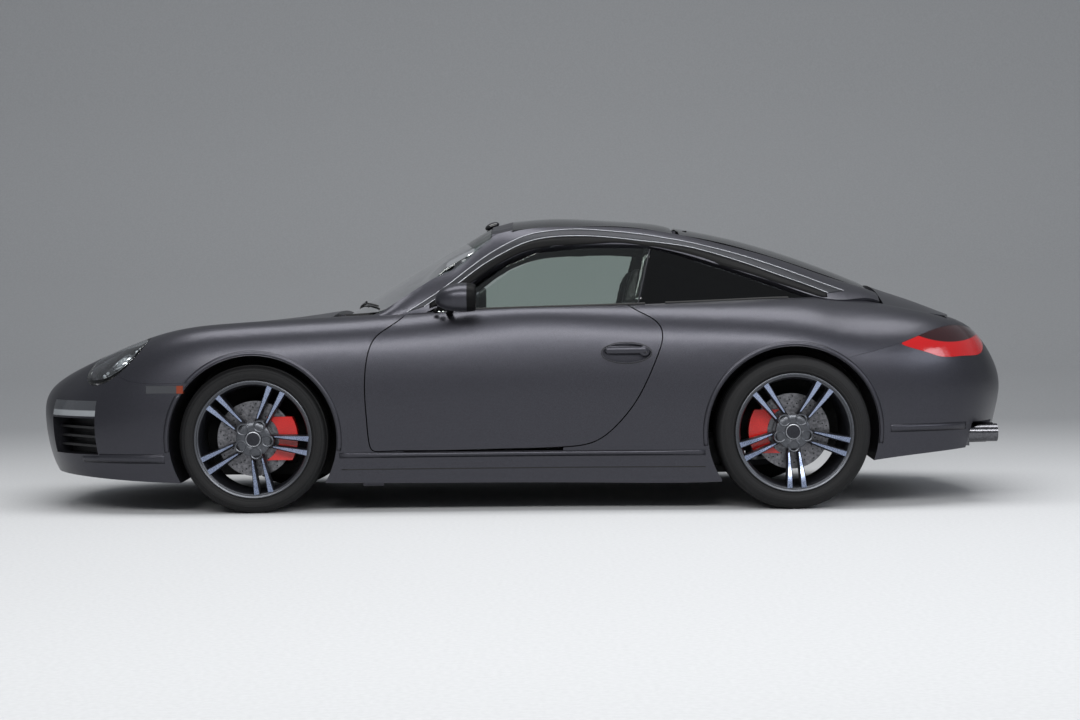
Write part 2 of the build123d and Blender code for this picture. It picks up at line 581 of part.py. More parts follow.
def wheel_shape(x, tyre_r, tyre_w, y, rim_w, face, disc_r):
    out, seat = y + rim_w / 2, y + face
    inn = y - rim_w / 2
    barrel = [
        (RIM_R, inn + 12.3), (FLANGE_R, inn + 11.7), (FLANGE_R, inn), (228, inn),
        (228, out - 60), (236, out - 14), (250, out),
        (FLANGE_R, out), (FLANGE_R, out - 11.7), (RIM_R, out - 12.3),
    ]
    nose, bore = seat + HUB_LONG, SPINDLE_R + SPINDLE_PLAY
    hub = [(bore, seat), (HUB_R, seat), (HUB_R, nose - 8), (60, nose), (bore, nose)]
    wheel = turned(barrel, x, tyre_r) + turned(hub, x, tyre_r)
    for pair in range(SPOKE_PAIRS):
        turn = 360 / SPOKE_PAIRS * pair
        for side in (-1, 1):
            root = spoke_section(side * 20, 11, seat + 6, nose - 6, 66)
            tip = spoke_section(side * 32, 17, out - 44, out - 10, 232)
            spoke = Solid.make_loft([root, tip]).rotate(Axis((0, 0, 0), (0, 1, 0)), turn)
            wheel = wheel + spoke.moved(Pos(x, 0, tyre_r))
    for pair in range(SPOKE_PAIRS):
        turn = 360 / SPOKE_PAIRS * pair
        wheel = wheel - Pos(x, 0, tyre_r) * Rot(0, turn, 0) * across(0, 58, 13, nose - 26, nose + 10)
    return wheel


def disc_shape(x, tyre_r, tyre_w, y, rim_w, face, disc_r):
    seat = y + face
    d1 = seat - HAT_GAP
    d0 = d1 - DISC_THICK
    bore, hat_inner = SPINDLE_R + SPINDLE_PLAY, DISC_INNER_R - 18
    profile = [
        (bore, seat), (HAT_R, seat), (HAT_R, d1), (disc_r, d1),
        (disc_r, d0), (hat_inner, d0), (hat_inner, seat - 10), (bore, seat - 10),
    ]
    return turned(profile, x, tyre_r)


def calliper_shape(x, tyre_r, tyre_w, y, rim_w, face, disc_r, side):
    d1 = y + face - HAT_GAP
    d0 = d1 - DISC_THICK
    ring = turned([(108, d0 - 22), (disc_r + 24, d0 - 22), (disc_r + 24, d1 + 14), (108, d1 + 14)], x, tyre_r)
    slot = turned([(100, d0 - 5), (disc_r + 5, d0 - 5), (disc_r + 5, d1 + 5), (100, d1 + 5)], x, tyre_r)
    wedge = block(x + min(0, side * 300), x + max(0, side * 300), y - 300, y + 300, tyre_r - 95, tyre_r + 95)
    return (ring - slot) & wedge


KING_Y, KING_R, KING_PLAY = 712.0, 12.0, 0.3
for axle, row in WHEEL_ROWS.items():
    for kind, maker in (("tyre", tyre_shape), ("wheel", wheel_shape), ("brake_disc", disc_shape)):
        piece = maker(**row)
        save(f"{kind}_{axle}_right", piece)
        save(f"{kind}_{axle}_left", mirrored(piece))

front = WHEEL_ROWS["front"]
rear = WHEEL_ROWS["rear"]
front_calliper = calliper_shape(**front, side=1)
rear_calliper = calliper_shape(**rear, side=-1)
save("calliper_front_right", front_calliper)
save("calliper_front_left", mirrored(front_calliper))
save("rear_callipers", both(rear_calliper))

# Steered knuckles and front arms
fd0 = front["y"] + front["face"] - HAT_GAP - DISC_THICK
knuckle = upright(FRONT_X, KING_Y, 30, 226, 440)
front_end_y = front["y"] + front["face"] + HUB_LONG - 12
knuckle = knuckle + across(FRONT_X, FRONT_TYRE_R, SPINDLE_R, KING_Y, front_end_y)
knuckle = knuckle + block(FRONT_X, FRONT_X + 150, KING_Y - 10, fd0 - 22, FRONT_TYRE_R - 40, FRONT_TYRE_R + 40)
knuckle = knuckle + across(FRONT_X, FRONT_TYRE_R, 46, KING_Y, fd0 - 8)
knuckle = knuckle - upright(FRONT_X, KING_Y, KING_R + KING_PLAY, 100, 600)
save("knuckle_right", knuckle)
save("knuckle_left", mirrored(knuckle))
front_arm = upright(FRONT_X, KING_Y, KING_R, 192, 470)
# Front arms: half width at the tub, half width and reach past the king pin, low z, high z
for foot, tip, past, arm_z0, arm_z1 in ((150, 26, 24, 192, 218), (90, 22, 20, 448, 470)):
    feet = [(FRONT_X - foot, TRUNK_Y - SEAT), (FRONT_X - tip, KING_Y + past)]
    tips = [(FRONT_X + tip, KING_Y + past), (FRONT_X + foot, TRUNK_Y - SEAT)]
    front_arm = front_arm + plan_plate(feet + tips, arm_z0, arm_z1)
save("front_arms", both(front_arm))

# Rear arms with uprights and spindles
rd0 = rear["y"] + rear["face"] - HAT_GAP - DISC_THICK
HUB_Z = REAR_TYRE_R
rear_end_y = rear["y"] + rear["face"] + HUB_LONG - 12
rear_arm = block(REAR_X - 130, REAR_X + 130, HIP_Y - SEAT, 660, 330, 360)
rear_arm = rear_arm + block(REAR_X - 60, REAR_X + 60, 640, 700, 250, 430)
rear_arm = rear_arm + across(REAR_X, HUB_Z, SPINDLE_R, 690, rear_end_y) + across(REAR_X, HUB_Z, 46, 690, rd0 - 8)
rear_arm = rear_arm + block(REAR_X - 150, REAR_X, 660, rd0 - 22, HUB_Z - 40, HUB_Z + 40)
save("rear_arms", both(rear_arm))

# Engine and exhaust
save("engine_block", block(1240, 1840, -500, 500, 310 + SEAT, 640))
exhaust = block(TAIL_WALL_X - SEAT, 1985, PIPE_Y - 95, PIPE_Y + 85, 250, PIPE_Z + 45)
pipe = Cylinder(PIPE_R, 150) - Pos(0, 0, 30) * Cylinder(PIPE_R - 4, 150)
for step in (-0.5, 0.5):
    exhaust = exhaust + Pos(2040, PIPE_Y + step * PIPE_STEP, PIPE_Z) * Rot(0, 90, 0) * pipe
save("exhaust", both(exhaust))

# Cabin
DASH = (
    (-719.7, 420), (-719.7, 779), (-649.6, 779), (-649.6, 822), (-560, 835),
    (-470, 838), (-430, 800), (-440, 690), (-520, 560), (-600, 420),
)
save("dashboard", side_plate(DASH, -640, 640))
WHEEL_SPOT, WHEEL_TILT = (-300.0, -370.0, 712.0), 24.0
column = Pos(*WHEEL_SPOT) * Rot(0, 90 - WHEEL_TILT, 0)
rim = column * Torus(178, 14)
spokes = joined(*[column * Rot(0, 0, a) * (Pos(95, 0, 0) * Box(170, 34, 12)) for a in (0, 90, 180)])
boss = column * Cylinder(62, 50)
SHAFT_R = 18.0
steering = rim + spokes + boss - column * Pos(0, 0, -60) * Cylinder(SHAFT_R + PIN_PLAY, 100)
save("steering_wheel", steering)
shaft = column * Pos(0, 0, -150) * Cylinder(SHAFT_R, 260)
shaft = max(solids_of(shaft - side_plate(DASH, -640, 640)), key=lambda s: s.center().X)
save("steering_column", shaft)
SEAT_Y, FLOOR_TOP = 375.0, FLOOR_Z + 30
CUSHION = (
    (-160, 330), (-150, 455), (-90, 480), (330, 440), (400, 470), (470, 900),
    (500, 1060), (560, 1080), (600, 1050), (560, 800), (480, 400), (430, 330),
)
seat_base = block(-100, 400, SEAT_Y - 190, SEAT_Y + 190, FLOOR_TOP, 340)
seat_pad = side_plate(CUSHION, SEAT_Y - 225, SEAT_Y + 225)
seat_pad = fillet(seat_pad.edges().filter_by(Axis.Y), 12)
save("front_seats", both(seat_pad + seat_base))
bench = [(640, FLOOR_TOP), (640, 400), (820, 380), (860, SHELF_Z + 60), (899.7, SHELF_Z + 60), (899.7, FLOOR_TOP)]
save("rear_seats", both(side_plate(bench, 145, 560)))
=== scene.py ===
import math
import bmesh
import bpy
from mathutils import Matrix, Vector
from mathutils.bvhtree import BVHTree


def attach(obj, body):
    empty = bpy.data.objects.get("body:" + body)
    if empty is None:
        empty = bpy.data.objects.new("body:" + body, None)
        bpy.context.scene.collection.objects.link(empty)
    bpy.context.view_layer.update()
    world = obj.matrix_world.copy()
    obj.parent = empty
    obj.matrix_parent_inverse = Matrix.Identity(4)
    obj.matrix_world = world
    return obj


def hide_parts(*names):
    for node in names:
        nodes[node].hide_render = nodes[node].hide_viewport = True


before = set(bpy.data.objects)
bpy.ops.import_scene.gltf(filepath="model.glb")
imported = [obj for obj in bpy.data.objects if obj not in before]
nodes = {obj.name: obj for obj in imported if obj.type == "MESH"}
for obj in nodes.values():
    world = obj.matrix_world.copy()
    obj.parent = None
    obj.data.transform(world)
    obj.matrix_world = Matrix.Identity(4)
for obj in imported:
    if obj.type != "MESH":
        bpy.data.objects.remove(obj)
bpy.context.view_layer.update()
scene = bpy.context.scene
sides = (("left", -1), ("right", 1))  # name and sign of y
print("frame loaded,", len(nodes), "nodes")


# colour and node helpers
def hexLinear(code):
    parts = [int(code[i:i + 2], 16) / 255 for i in (1, 3, 5)]
    lin = [c / 12.92 if c <= 0.04045 else ((c + 0.055) / 1.055) ** 2.4 for c in parts]
    return (*lin, 1.0)


def addNode(tree, kind, settings=None, links=None):
    node = tree.nodes.new(kind)
    for key, value in (settings or {}).items():
        if isinstance(key, str) and hasattr(node, key):
            setattr(node, key, value)
        else:
            node.inputs[key].default_value = value
    for key, source in (links or {}).items():
        tree.links.new(source, node.inputs[key])
    return node


def newMaterial(name, settings):
    mat = bpy.data.materials.new(name)
    mat.use_nodes = True
    tree = mat.node_tree
    shader = tree.nodes["Principled BSDF"]
    for key, value in settings.items():
        shader.inputs[key].default_value = value
    place = addNode(tree, "ShaderNodeTexCoord")
    return mat, tree, shader, place.outputs["Object"]


def mixTones(tree, shader, share, dark, light, low=0.0, high=1.0):
    # base colour between two tones, by a share from 0 to 1
    ramp = addNode(tree, "ShaderNodeValToRGB", {}, {"Fac": share})
    for stop, at, code in zip(ramp.color_ramp.elements, (low, high), (dark, light)):
        stop.position, stop.color = at, hexLinear(code)
    tree.links.new(ramp.outputs["Color"], shader.inputs["Base Color"])


def addBump(tree, shader, height, strength, distance):
    relief = addNode(tree, "ShaderNodeBump", {"Strength": strength, "Distance": distance}, {"Height": height})
    tree.links.new(relief.outputs["Normal"], shader.inputs["Normal"])


def speckle(name, settings, dark, light, perMetre, bump=0.0, depth=0.001, rough=None):
    # two tones mixed by noise of a real grain size, with the same grain as bump
    mat, tree, shader, place = newMaterial(name, settings)
    noise = addNode(tree, "ShaderNodeTexNoise", {"Scale": perMetre, "Detail": 4.0}, {"Vector": place})
    mixTones(tree, shader, noise.outputs["Fac"], dark, light, 0.35, 0.65)
    if bump:
        addBump(tree, shader, noise.outputs["Fac"], bump, depth)
    if rough:
        spread = addNode(
            tree, "ShaderNodeMapRange", {"To Min": rough[0], "To Max": rough[1]},
            {"Value": noise.outputs["Fac"]})
        tree.links.new(spread.outputs["Result"], shader.inputs["Roughness"])
    return mat


# satin metallic body paint: aluminium flakes in a dark base under clear coat, so the light spreads softly
def makePaint():
    mat, tree, shader, place = newMaterial("satinMetallicPaint", {
        "Metallic": 0.85, "Roughness": 0.37, "Coat Weight": 0.15, "Coat Roughness": 0.2, "IOR": 1.5})
    # flakes drawn at 1 mm to show
    flakes = addNode(tree, "ShaderNodeTexVoronoi", {"Scale": 900.0}, {"Vector": place})
    mixTones(tree, shader, flakes.outputs["Color"], "#333338", "#4a4a51")
    return mat


paint = makePaint()
# moulded polypropylene: fine leather-like grain, no mirror gloss
grainPlastic = speckle("grainedPolypropylene", {"Roughness": 0.55}, "#0c0c0d", "#17171a", 700, 0.25, 0.0004)
# gloss black acrylic trim: deep and even, sharp reflections
glossBlack = speckle("glossBlackAcrylic", {"Roughness": 0.08, "Coat Weight": 0.4}, "#08080a", "#0d0d10", 60)
# moulded black trim: no gloss at all, reads as a plain dark edge
dullBlack = speckle(
    "dullBlackMoulding", {"Roughness": 0.5, "Specular IOR Level": 0.1}, "#060607", "#0a0a0b", 240)
# EPDM window seal: dull black rubber
sealRubber = speckle("sealRubber", {"Roughness": 0.7}, "#0b0b0b", "#141414", 500, 0.2, 0.0003)
# tyre compound: black with a dry bloom on the sidewall
tyreRubber = speckle(
    "tyreCompound", {"Roughness": 0.66, "Specular IOR Level": 0.3}, "#0b0b0c", "#151516", 120, 0.15, 0.0004,
    rough=(0.55, 0.8))
# diamond-cut alloy under clear lacquer: bright with faint turning
cutAlloy = speckle(
    "diamondCutAlloy", {"Metallic": 1.0, "Roughness": 0.24, "Coat Weight": 0.4}, "#8591ad", "#a4afc8", 260,
    rough=(0.22, 0.34))
# anthracite lacquered casting: satin dark sides between the cut faces
darkAlloy = speckle(
    "anthraciteAlloy", {"Metallic": 0.6, "Roughness": 0.4}, "#222328", "#2e2f35", 300, 0.1, 0.0003)
# satin lacquered hub star: a lighter grey than the barrel, soft edges catch the light
hubAlloy = speckle(
    "satinHubAlloy", {"Metallic": 0.8, "Roughness": 0.34}, "#4a4c50", "#5c5e63", 300, 0.08, 0.0003)
# ground brake steel: grey with rings left by the pads
discSteel = speckle(
    "groundBrakeSteel", {"Metallic": 1.0, "Roughness": 0.35}, "#5c5c5f", "#808084", 90, rough=(0.28, 0.45))
# red brake enamel: even gloss paint on a casting
redEnamel = speckle(
    "redBrakeEnamel", {"Roughness": 0.28, "Coat Weight": 0.5}, "#b5130f", "#c91a14", 200, 0.08, 0.0004)
# bare cast suspension metal: dull and rough
castMetal = speckle(
    "castSuspensionMetal", {"Metallic": 0.5, "Roughness": 0.62}, "#202124", "#35363a", 180, 0.3, 0.0006)
# wax and stone-guard underbody coat: matt black, slightly lumpy
underCoat = speckle("underbodyCoat", {"Roughness": 0.8}, "#0e0e0f", "#191919", 140, 0.35, 0.0008)
# full-grain leather: pebbled 2 mm grain, low sheen
leather = speckle(
    "blackLeather", {"Roughness": 0.5, "Sheen Weight": 0.1}, "#121112", "#1d1c1d", 480, 0.35, 0.0006)
# soft-touch dash skin: matt and finely grained
dashSkin = speckle("softDashSkin", {"Roughness": 0.68}, "#101011", "#191a1b", 900, 0.25, 0.0003)
# satin anodised aluminium trim: thin grey lines, softly bright
satinTrim = speckle("satinAnodisedTrim", {"Metallic": 1.0, "Roughness": 0.34}, "#94969b", "#abadb2", 220)
# anthracite anodised aluminium: dark satin grey, no mirror
darkTrim = speckle("anthraciteAnodised", {"Metallic": 0.7, "Roughness": 0.45}, "#26272a", "#313236", 220)
# polished stainless pipe in a dark mid grey: mirror-like
pipeSteel = speckle(
    "polishedStainless", {"Metallic": 1.0, "Roughness": 0.16}, "#57575a", "#6e6e72", 120,
    rough=(0.12, 0.25))
# mirror glass: silvered
mirrorGlass = speckle("silveredMirror", {"Metallic": 1.0, "Roughness": 0.02}, "#c4c8ca", "#d0d4d6", 20)


# lamp acrylic in two colours parted by a bent line, with fine moulded ribs 3 mm apart
def twoTone(name, settings, direction, edge, low, high, middleX=0.0, bend=0.0):
    mat, tree, shader, place = newMaterial(name, settings)
    along = addNode(tree, "ShaderNodeVectorMath", {"operation": "DOT_PRODUCT", 1: direction}, {0: place})
    apart = addNode(tree, "ShaderNodeSeparateXYZ", {}, {0: place})
    off = addNode(tree, "ShaderNodeMath", {"operation": "SUBTRACT", 1: middleX}, {0: apart.outputs["X"]})
    square = addNode(
        tree, "ShaderNodeMath", {"operation": "MULTIPLY"}, {0: off.outputs[0], 1: off.outputs[0]})
    bent = addNode(
        tree, "ShaderNodeMath", {"operation": "MULTIPLY_ADD", 1: -bend},
        {0: square.outputs[0], 2: along.outputs["Value"]})
    part = addNode(
        tree, "ShaderNodeMapRange", {"From Min": edge - 0.002, "From Max": edge + 0.002},
        {"Value": bent.outputs[0]})
    mixTones(tree, shader, part.outputs["Result"], low, high)
    ribs = addNode(tree, "ShaderNodeTexWave", {"Scale": 105.0, "bands_direction": "X"}, {"Vector": place})
    addBump(tree, shader, ribs.outputs["Fac"], 0.15, 0.0005)
    return mat


amberLens = twoTone(
    "clearAndAmberLamp", {"Roughness": 0.12, "Coat Weight": 0.6}, (1.0, 0.0, 0.0), -1.502, "#3c3d40",
    "#7e3219")
redLens = twoTone(
    "redLampAcrylic", {"Roughness": 0.1, "Coat Weight": 0.6}, (0.0, 0.0, 1.0), 0.714, "#a80b0e", "#26070a",
    1.89, 1.2)
dayLamp = twoTone(
    "dayLampAcrylic", {"Roughness": 0.1, "Coat Weight": 0.6}, (0.0, 0.0, 1.0), 0.452, "#8f9396", "#3a3c40")
# vacuum-metallised lamp ring: bright and mirror-like
lampChrome = speckle("vacuumChrome", {"Metallic": 1.0, "Roughness": 0.07}, "#c2c4c6", "#d4d6d8", 60)
# opal lamp lens: pale, lets a little light through
lampLight = speckle(
    "whiteLampDiffuser", {"Roughness": 0.3, "Transmission Weight": 0.2}, "#c9ced2", "#e2e6e9", 240)


# float glass: clear sheet, a slight green cast, dark when tinted in the mass
def glass(name, tint, tintTwo):
    mat, tree, shader, place = newMaterial(name, {"Roughness": 0.0, "Transmission Weight": 1.0, "IOR": 1.45})
    haze = addNode(tree, "ShaderNodeTexNoise", {"Scale": 3.0}, {"Vector": place})
    mixTones(tree, shader, haze.outputs["Fac"], tint, tintTwo)
    return mat


clearGlass = glass("clearSideGlass", "#e6f0ea", "#eaf3ee")
screenGlass = glass("screenGlass", "#dcebe2", "#e2efe7")
darkGlass = glass("darkTintedGlass", "#2c3032", "#313538")
lensGlass = glass("polycarbonateLens", "#eef1f2", "#f3f5f6")
print("materials ready")

# finishes of the carried-over CAD nodes
corners = ("front_left", "front_right", "rear_left", "rear_right")
finishes = {
    paint: ["front_bumper", "front_wings", "rear_quarters", "sills", "rear_bumper", "roof_frame", "bonnet",
            "engine_lid", "door_left", "door_right"],
    glossBlack: ["mirror_left", "mirror_right"],
    grainPlastic: ["front_grilles", "cowl"],
    dashSkin: ["dashboard"],
    screenGlass: ["windscreen"],
    clearGlass: ["door_glass_left", "door_glass_right"],
    darkGlass: ["roof_glass", "rear_hatch", "rear_side_windows"],
    dayLamp: ["day_lamps"],
    lensGlass: ["headlamps"],
    amberLens: ["side_markers"],
    redLens: ["tail_lamps"],
    underCoat: ["floor_tub"],
    pipeSteel: ["exhaust"],
    castMetal: ["engine_block", "front_arms", "rear_arms", "knuckle_left", "knuckle_right",
                "steering_column"],
    leather: ["front_seats", "rear_seats", "steering_wheel"],
    redEnamel: ["rear_callipers", "calliper_front_left", "calliper_front_right"],
    discSteel: [f"brake_disc_{corner}" for corner in corners],
    tyreRubber: [f"tyre_{corner}" for corner in corners],
    cutAlloy: [f"wheel_{corner}" for corner in corners],
}
for mat, names in finishes.items():
    for name in names:
        mesh = nodes[name].data
        mesh.materials.clear()
        mesh.materials.append(mat)
print("CAD finishes set")


# mesh helpers
def addObject(name, data):
    made = bpy.data.objects.new(name, data)
    scene.collection.objects.link(made)
    return made


def dress(mesh, mats, smooth=True):
    # materials in slot order, and smooth or flat shading
    for mat in mats:
        mesh.materials.append(mat)
    for poly in mesh.polygons:
        poly.use_smooth = smooth


def meshPiece(name, bm, mats, smooth=True):
    mesh = bpy.data.meshes.new(name)
    bm.to_mesh(mesh)
    bm.free()
    dress(mesh, mats, smooth)
    return addObject(name, mesh)


def outward(bm):
    bmesh.ops.recalc_face_normals(bm, faces=bm.faces)


def baked(piece):
    # modifiers become plain mesh
    deps = bpy.context.evaluated_depsgraph_get()
    mesh = bpy.data.meshes.new_from_object(piece.evaluated_get(deps))
    piece.modifiers.clear()
    piece.data = mesh
    return piece


def withWall(piece, thickness, offset):
    wall = piece.modifiers.new("thick", "SOLIDIFY")
    wall.thickness, wall.offset = thickness, offset
    return baked(piece)


def withEdges(piece, degrees):
    # creases sharper than the angle shade as edges
    split = piece.modifiers.new("edge", "EDGE_SPLIT")
    split.split_angle = math.radians(degrees)
    return baked(piece)


def settle(piece, body, replaced=None):
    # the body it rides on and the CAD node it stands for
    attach(piece, body)
    if replaced:
        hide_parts(replaced)
    return piece


def bridge(bm, rings, around=True, index=0):
    # faces between neighbouring rings of points, closed round or open; index may be a function
    count = len(rings[0])
    for here, there in zip(rings, rings[1:]):
        for k in range(count if around else count - 1):
            after = (k + 1) % count
            face = bm.faces.new((here[k], here[after], there[after], there[k]))
            face.material_index = index(k) if callable(index) else index


def superRing(halfWide, halfDeep, power, count):
    # rounded outline, (across, deep): a power of 1 is an ellipse, a lower one is squarer
    found = []
    for k in range(count):
        a = 2 * math.pi * k / count
        c, s = math.cos(a), math.sin(a)
        found.append(
            (halfWide * math.copysign(abs(c) ** power, c), halfDeep * math.copysign(abs(s) ** power, s)))
    return found


def turnedShell(name, profile, hub, steps, mats, side, matOf=0):
    # profile points are (radius, y outwards from the car), spun about the axle; the loop is closed
    bm = bmesh.new()
    rings = []
    for number in range(steps):
        angle = 2 * math.pi * number / steps
        c, s = math.cos(angle), math.sin(angle)
        rings.append([bm.verts.new((hub.x + r * c, side * y, hub.z + r * s)) for r, y in profile])
    bridge(bm, rings + rings[:1], True, matOf)
    outward(bm)
    return meshPiece(name, bm, mats)


def turnedOn(profile, turnAxis, at, segments, bm, index):
    # profile (radius, height) turned about any axis through a spot
    frameTurn = turnAxis.to_track_quat("Z", "Y").to_matrix().to_4x4()
    rings = []
    for k in range(segments):
        angle = 2 * math.pi * k / segments
        c, s = math.cos(angle), math.sin(angle)
        rings.append([bm.verts.new(at + frameTurn @ Vector((r * c, r * s, h))) for r, h in profile])
    bridge(bm, rings + rings[:1], False, index)


# Geometry Nodes tree: repeats the piece round the axle line and puts it at the hub
def ringTree():
    tree = bpy.data.node_groups.new("repeatRoundAxle", "GeometryNodeTree")
    face = tree.interface
    sockets = {
        "Geometry": "Geometry", "Count": "Int", "Start": "Float", "Hub": "Vector", "Finish": "Material"}
    for label, kind in sockets.items():
        face.new_socket(label, in_out="INPUT", socket_type=f"NodeSocket{kind}")
    face.new_socket("Geometry", in_out="OUTPUT", socket_type="NodeSocketGeometry")
    into = addNode(tree, "NodeGroupInput")
    points = addNode(tree, "GeometryNodePoints", {}, {"Count": into.outputs["Count"]})
    index = addNode(tree, "GeometryNodeInputIndex")
    step = addNode(
        tree, "ShaderNodeMath", {"operation": "DIVIDE", 0: 2 * math.pi}, {1: into.outputs["Count"]})
    turn = addNode(
        tree, "ShaderNodeMath", {"operation": "MULTIPLY_ADD"},
        {0: index.outputs[0], 1: step.outputs[0], 2: into.outputs["Start"]})
    spin = addNode(tree, "ShaderNodeCombineXYZ", {}, {"Y": turn.outputs[0]})
    copies = addNode(tree, "GeometryNodeInstanceOnPoints", {}, {
        "Points": points.outputs[0], "Instance": into.outputs["Geometry"], "Rotation": spin.outputs[0]})
    moved = addNode(
        tree, "GeometryNodeTransform", {},
        {"Geometry": copies.outputs[0], "Translation": into.outputs["Hub"]})
    real = addNode(tree, "GeometryNodeRealizeInstances", {}, {"Geometry": moved.outputs[0]})
    done = addNode(
        tree, "GeometryNodeSetMaterial", {},
        {"Geometry": real.outputs[0], "Material": into.outputs["Finish"]})
    addNode(tree, "NodeGroupOutput", {}, {"Geometry": done.outputs[0]})
    return tree


ringGroup = ringTree()


def runTree(piece, tree, values):
    mod = piece.modifiers.new("nodes", "NODES")
    mod.node_group = tree
    for item in tree.interface.items_tree:
        if item.in_out == "INPUT" and item.name in values:
            mod[item.identifier] = values[item.name]
    return baked(piece)


def joinPieces(name, pieces):
    # one mesh from several finished ones, materials kept
    bm = bmesh.new()
    mats = []
    for piece in pieces:
        start = len(bm.faces)
        bm.from_mesh(piece.data)
        bm.faces.ensure_lookup_table()
        order = []
        for mat in piece.data.materials:
            if mat not in mats:
                mats.append(mat)
            order.append(mats.index(mat))
        for face in bm.faces[start:]:
            face.material_index = order[face.material_index] if order else 0
        bpy.data.objects.remove(piece)
    return meshPiece(name, bm, mats)


# tyres and wheels, one row per axle (metres)
wheelSettings = {
    "front": {"x": -1.175, "tyreRadius": 0.3235, "tyreWidth": 0.235, "y": 0.744, "rimWidth": 0.227,
              "hubFace": 0.847, "turn": 25.4, "archRadius": 0.366, "discFace": 0.781},
    "rear": {"x": 1.175, "tyreRadius": 0.333, "tyreWidth": 0.305, "y": 0.774, "rimWidth": 0.303,
             "hubFace": 0.871, "turn": 34.0, "archRadius": 0.374, "discFace": 0.805},
}


def tyreProfile(row):
    half, big = row["tyreWidth"] / 2, row["tyreRadius"]
    wall = [
        (0.2425, 0.014), (0.2525, 0.012), (0.2585, 0.0095), (0.2615, 0.0065), (0.2635, 0.0062),
        (0.2645, 0.0045), (0.2700, 0.0030), (0.2712, 0.0035), (0.2725, 0.0025), (0.2800, 0.0012),
        (0.2860, 0.0003), (0.2890, 0.0), (0.2900, 0.0008), (0.2912, 0.0), (0.2950, 0.0006),
        (big - 0.0220, 0.0050), (big - 0.0210, 0.0062), (big - 0.0200, 0.0060), (big - 0.0120, 0.0125),
        (big - 0.0050, 0.0250), (big - 0.0012, 0.0420)]
    outer = [(r, row["y"] + half - inset) for r, inset in wall]
    tread = []
    groove, slope, deep = 0.0045, 0.001, 0.007
    for middle in (0.32, 0.11, -0.11, -0.32):
        at = row["y"] + middle * row["tyreWidth"]
        tread += [(big, at + groove + slope), (big - deep, at + groove), (big - deep, at - groove),
                  (big, at - groove - slope)]
    inner = [(r, row["y"] - half + inset) for r, inset in reversed(wall)]
    return outer + tread + inner


def spokeMesh(row, side):
    # twin tapered spokes round a lug bolt, seen straight on they open towards the rim
    out = row["y"] + row["rimWidth"] / 2
    stations = [
        (0.062, 0.0215, 0.0050, row["hubFace"] - 0.012, 0.026),
        (0.090, 0.0225, 0.0056, row["hubFace"] - 0.005, 0.030),
        (0.140, 0.0250, 0.0085, (row["hubFace"] + out) / 2 - 0.005, 0.034),
        (0.190, 0.0280, 0.0112, out - 0.013, 0.036), (0.222, 0.0300, 0.0130, out - 0.008, 0.036),
        (0.2395, 0.0310, 0.0142, out - 0.0065, 0.034)]
    bm = bmesh.new()
    for twin in (-1, 1):
        rings = []
        for reach, apart, half, faceY, deep in stations:
            ring = [(-half, 0.0035), (-half + 0.003, 0), (half - 0.003, 0), (half, 0.0035),
                    (half + 0.004, deep), (-half - 0.004, deep)]
            rings.append([bm.verts.new((twin * apart + u, side * (faceY - d), reach)) for u, d in ring])
        for number, (here, there) in enumerate(zip(rings, rings[1:])):
            for k in range(6):
                face = bm.faces.new((here[k], here[(k + 1) % 6], there[(k + 1) % 6], there[k]))
                face.material_index = 0 if k == 1 and number else 1
        bm.faces.new(rings[0])
        bm.faces.new(list(reversed(rings[-1])))
    outward(bm)
    return bm


# five times round the hub, by the tree that keeps the piece's own materials
def spreadRound(bm, name, mats, count, startDegrees, hub):
    piece = meshPiece(name, bm, mats, smooth=False)
    return runTree(
        piece, spokeGroup,
        {"Count": count, "Start": math.radians(startDegrees), "Hub": (hub.x, 0.0, hub.z)})


# repeatRoundAxle without its Set Material
def ringTreeKeeping():
    tree = ringGroup.copy()
    tree.name = "repeatSpokes"
    kinds = ("GeometryNodeSetMaterial", "GeometryNodeRealizeInstances", "NodeGroupOutput")
    done, real, out = (next(node for node in tree.nodes if node.bl_idname == kind) for kind in kinds)
    tree.nodes.remove(done)
    tree.links.new(real.outputs[0], out.inputs[0])
    return tree


spokeGroup = ringTreeKeeping()


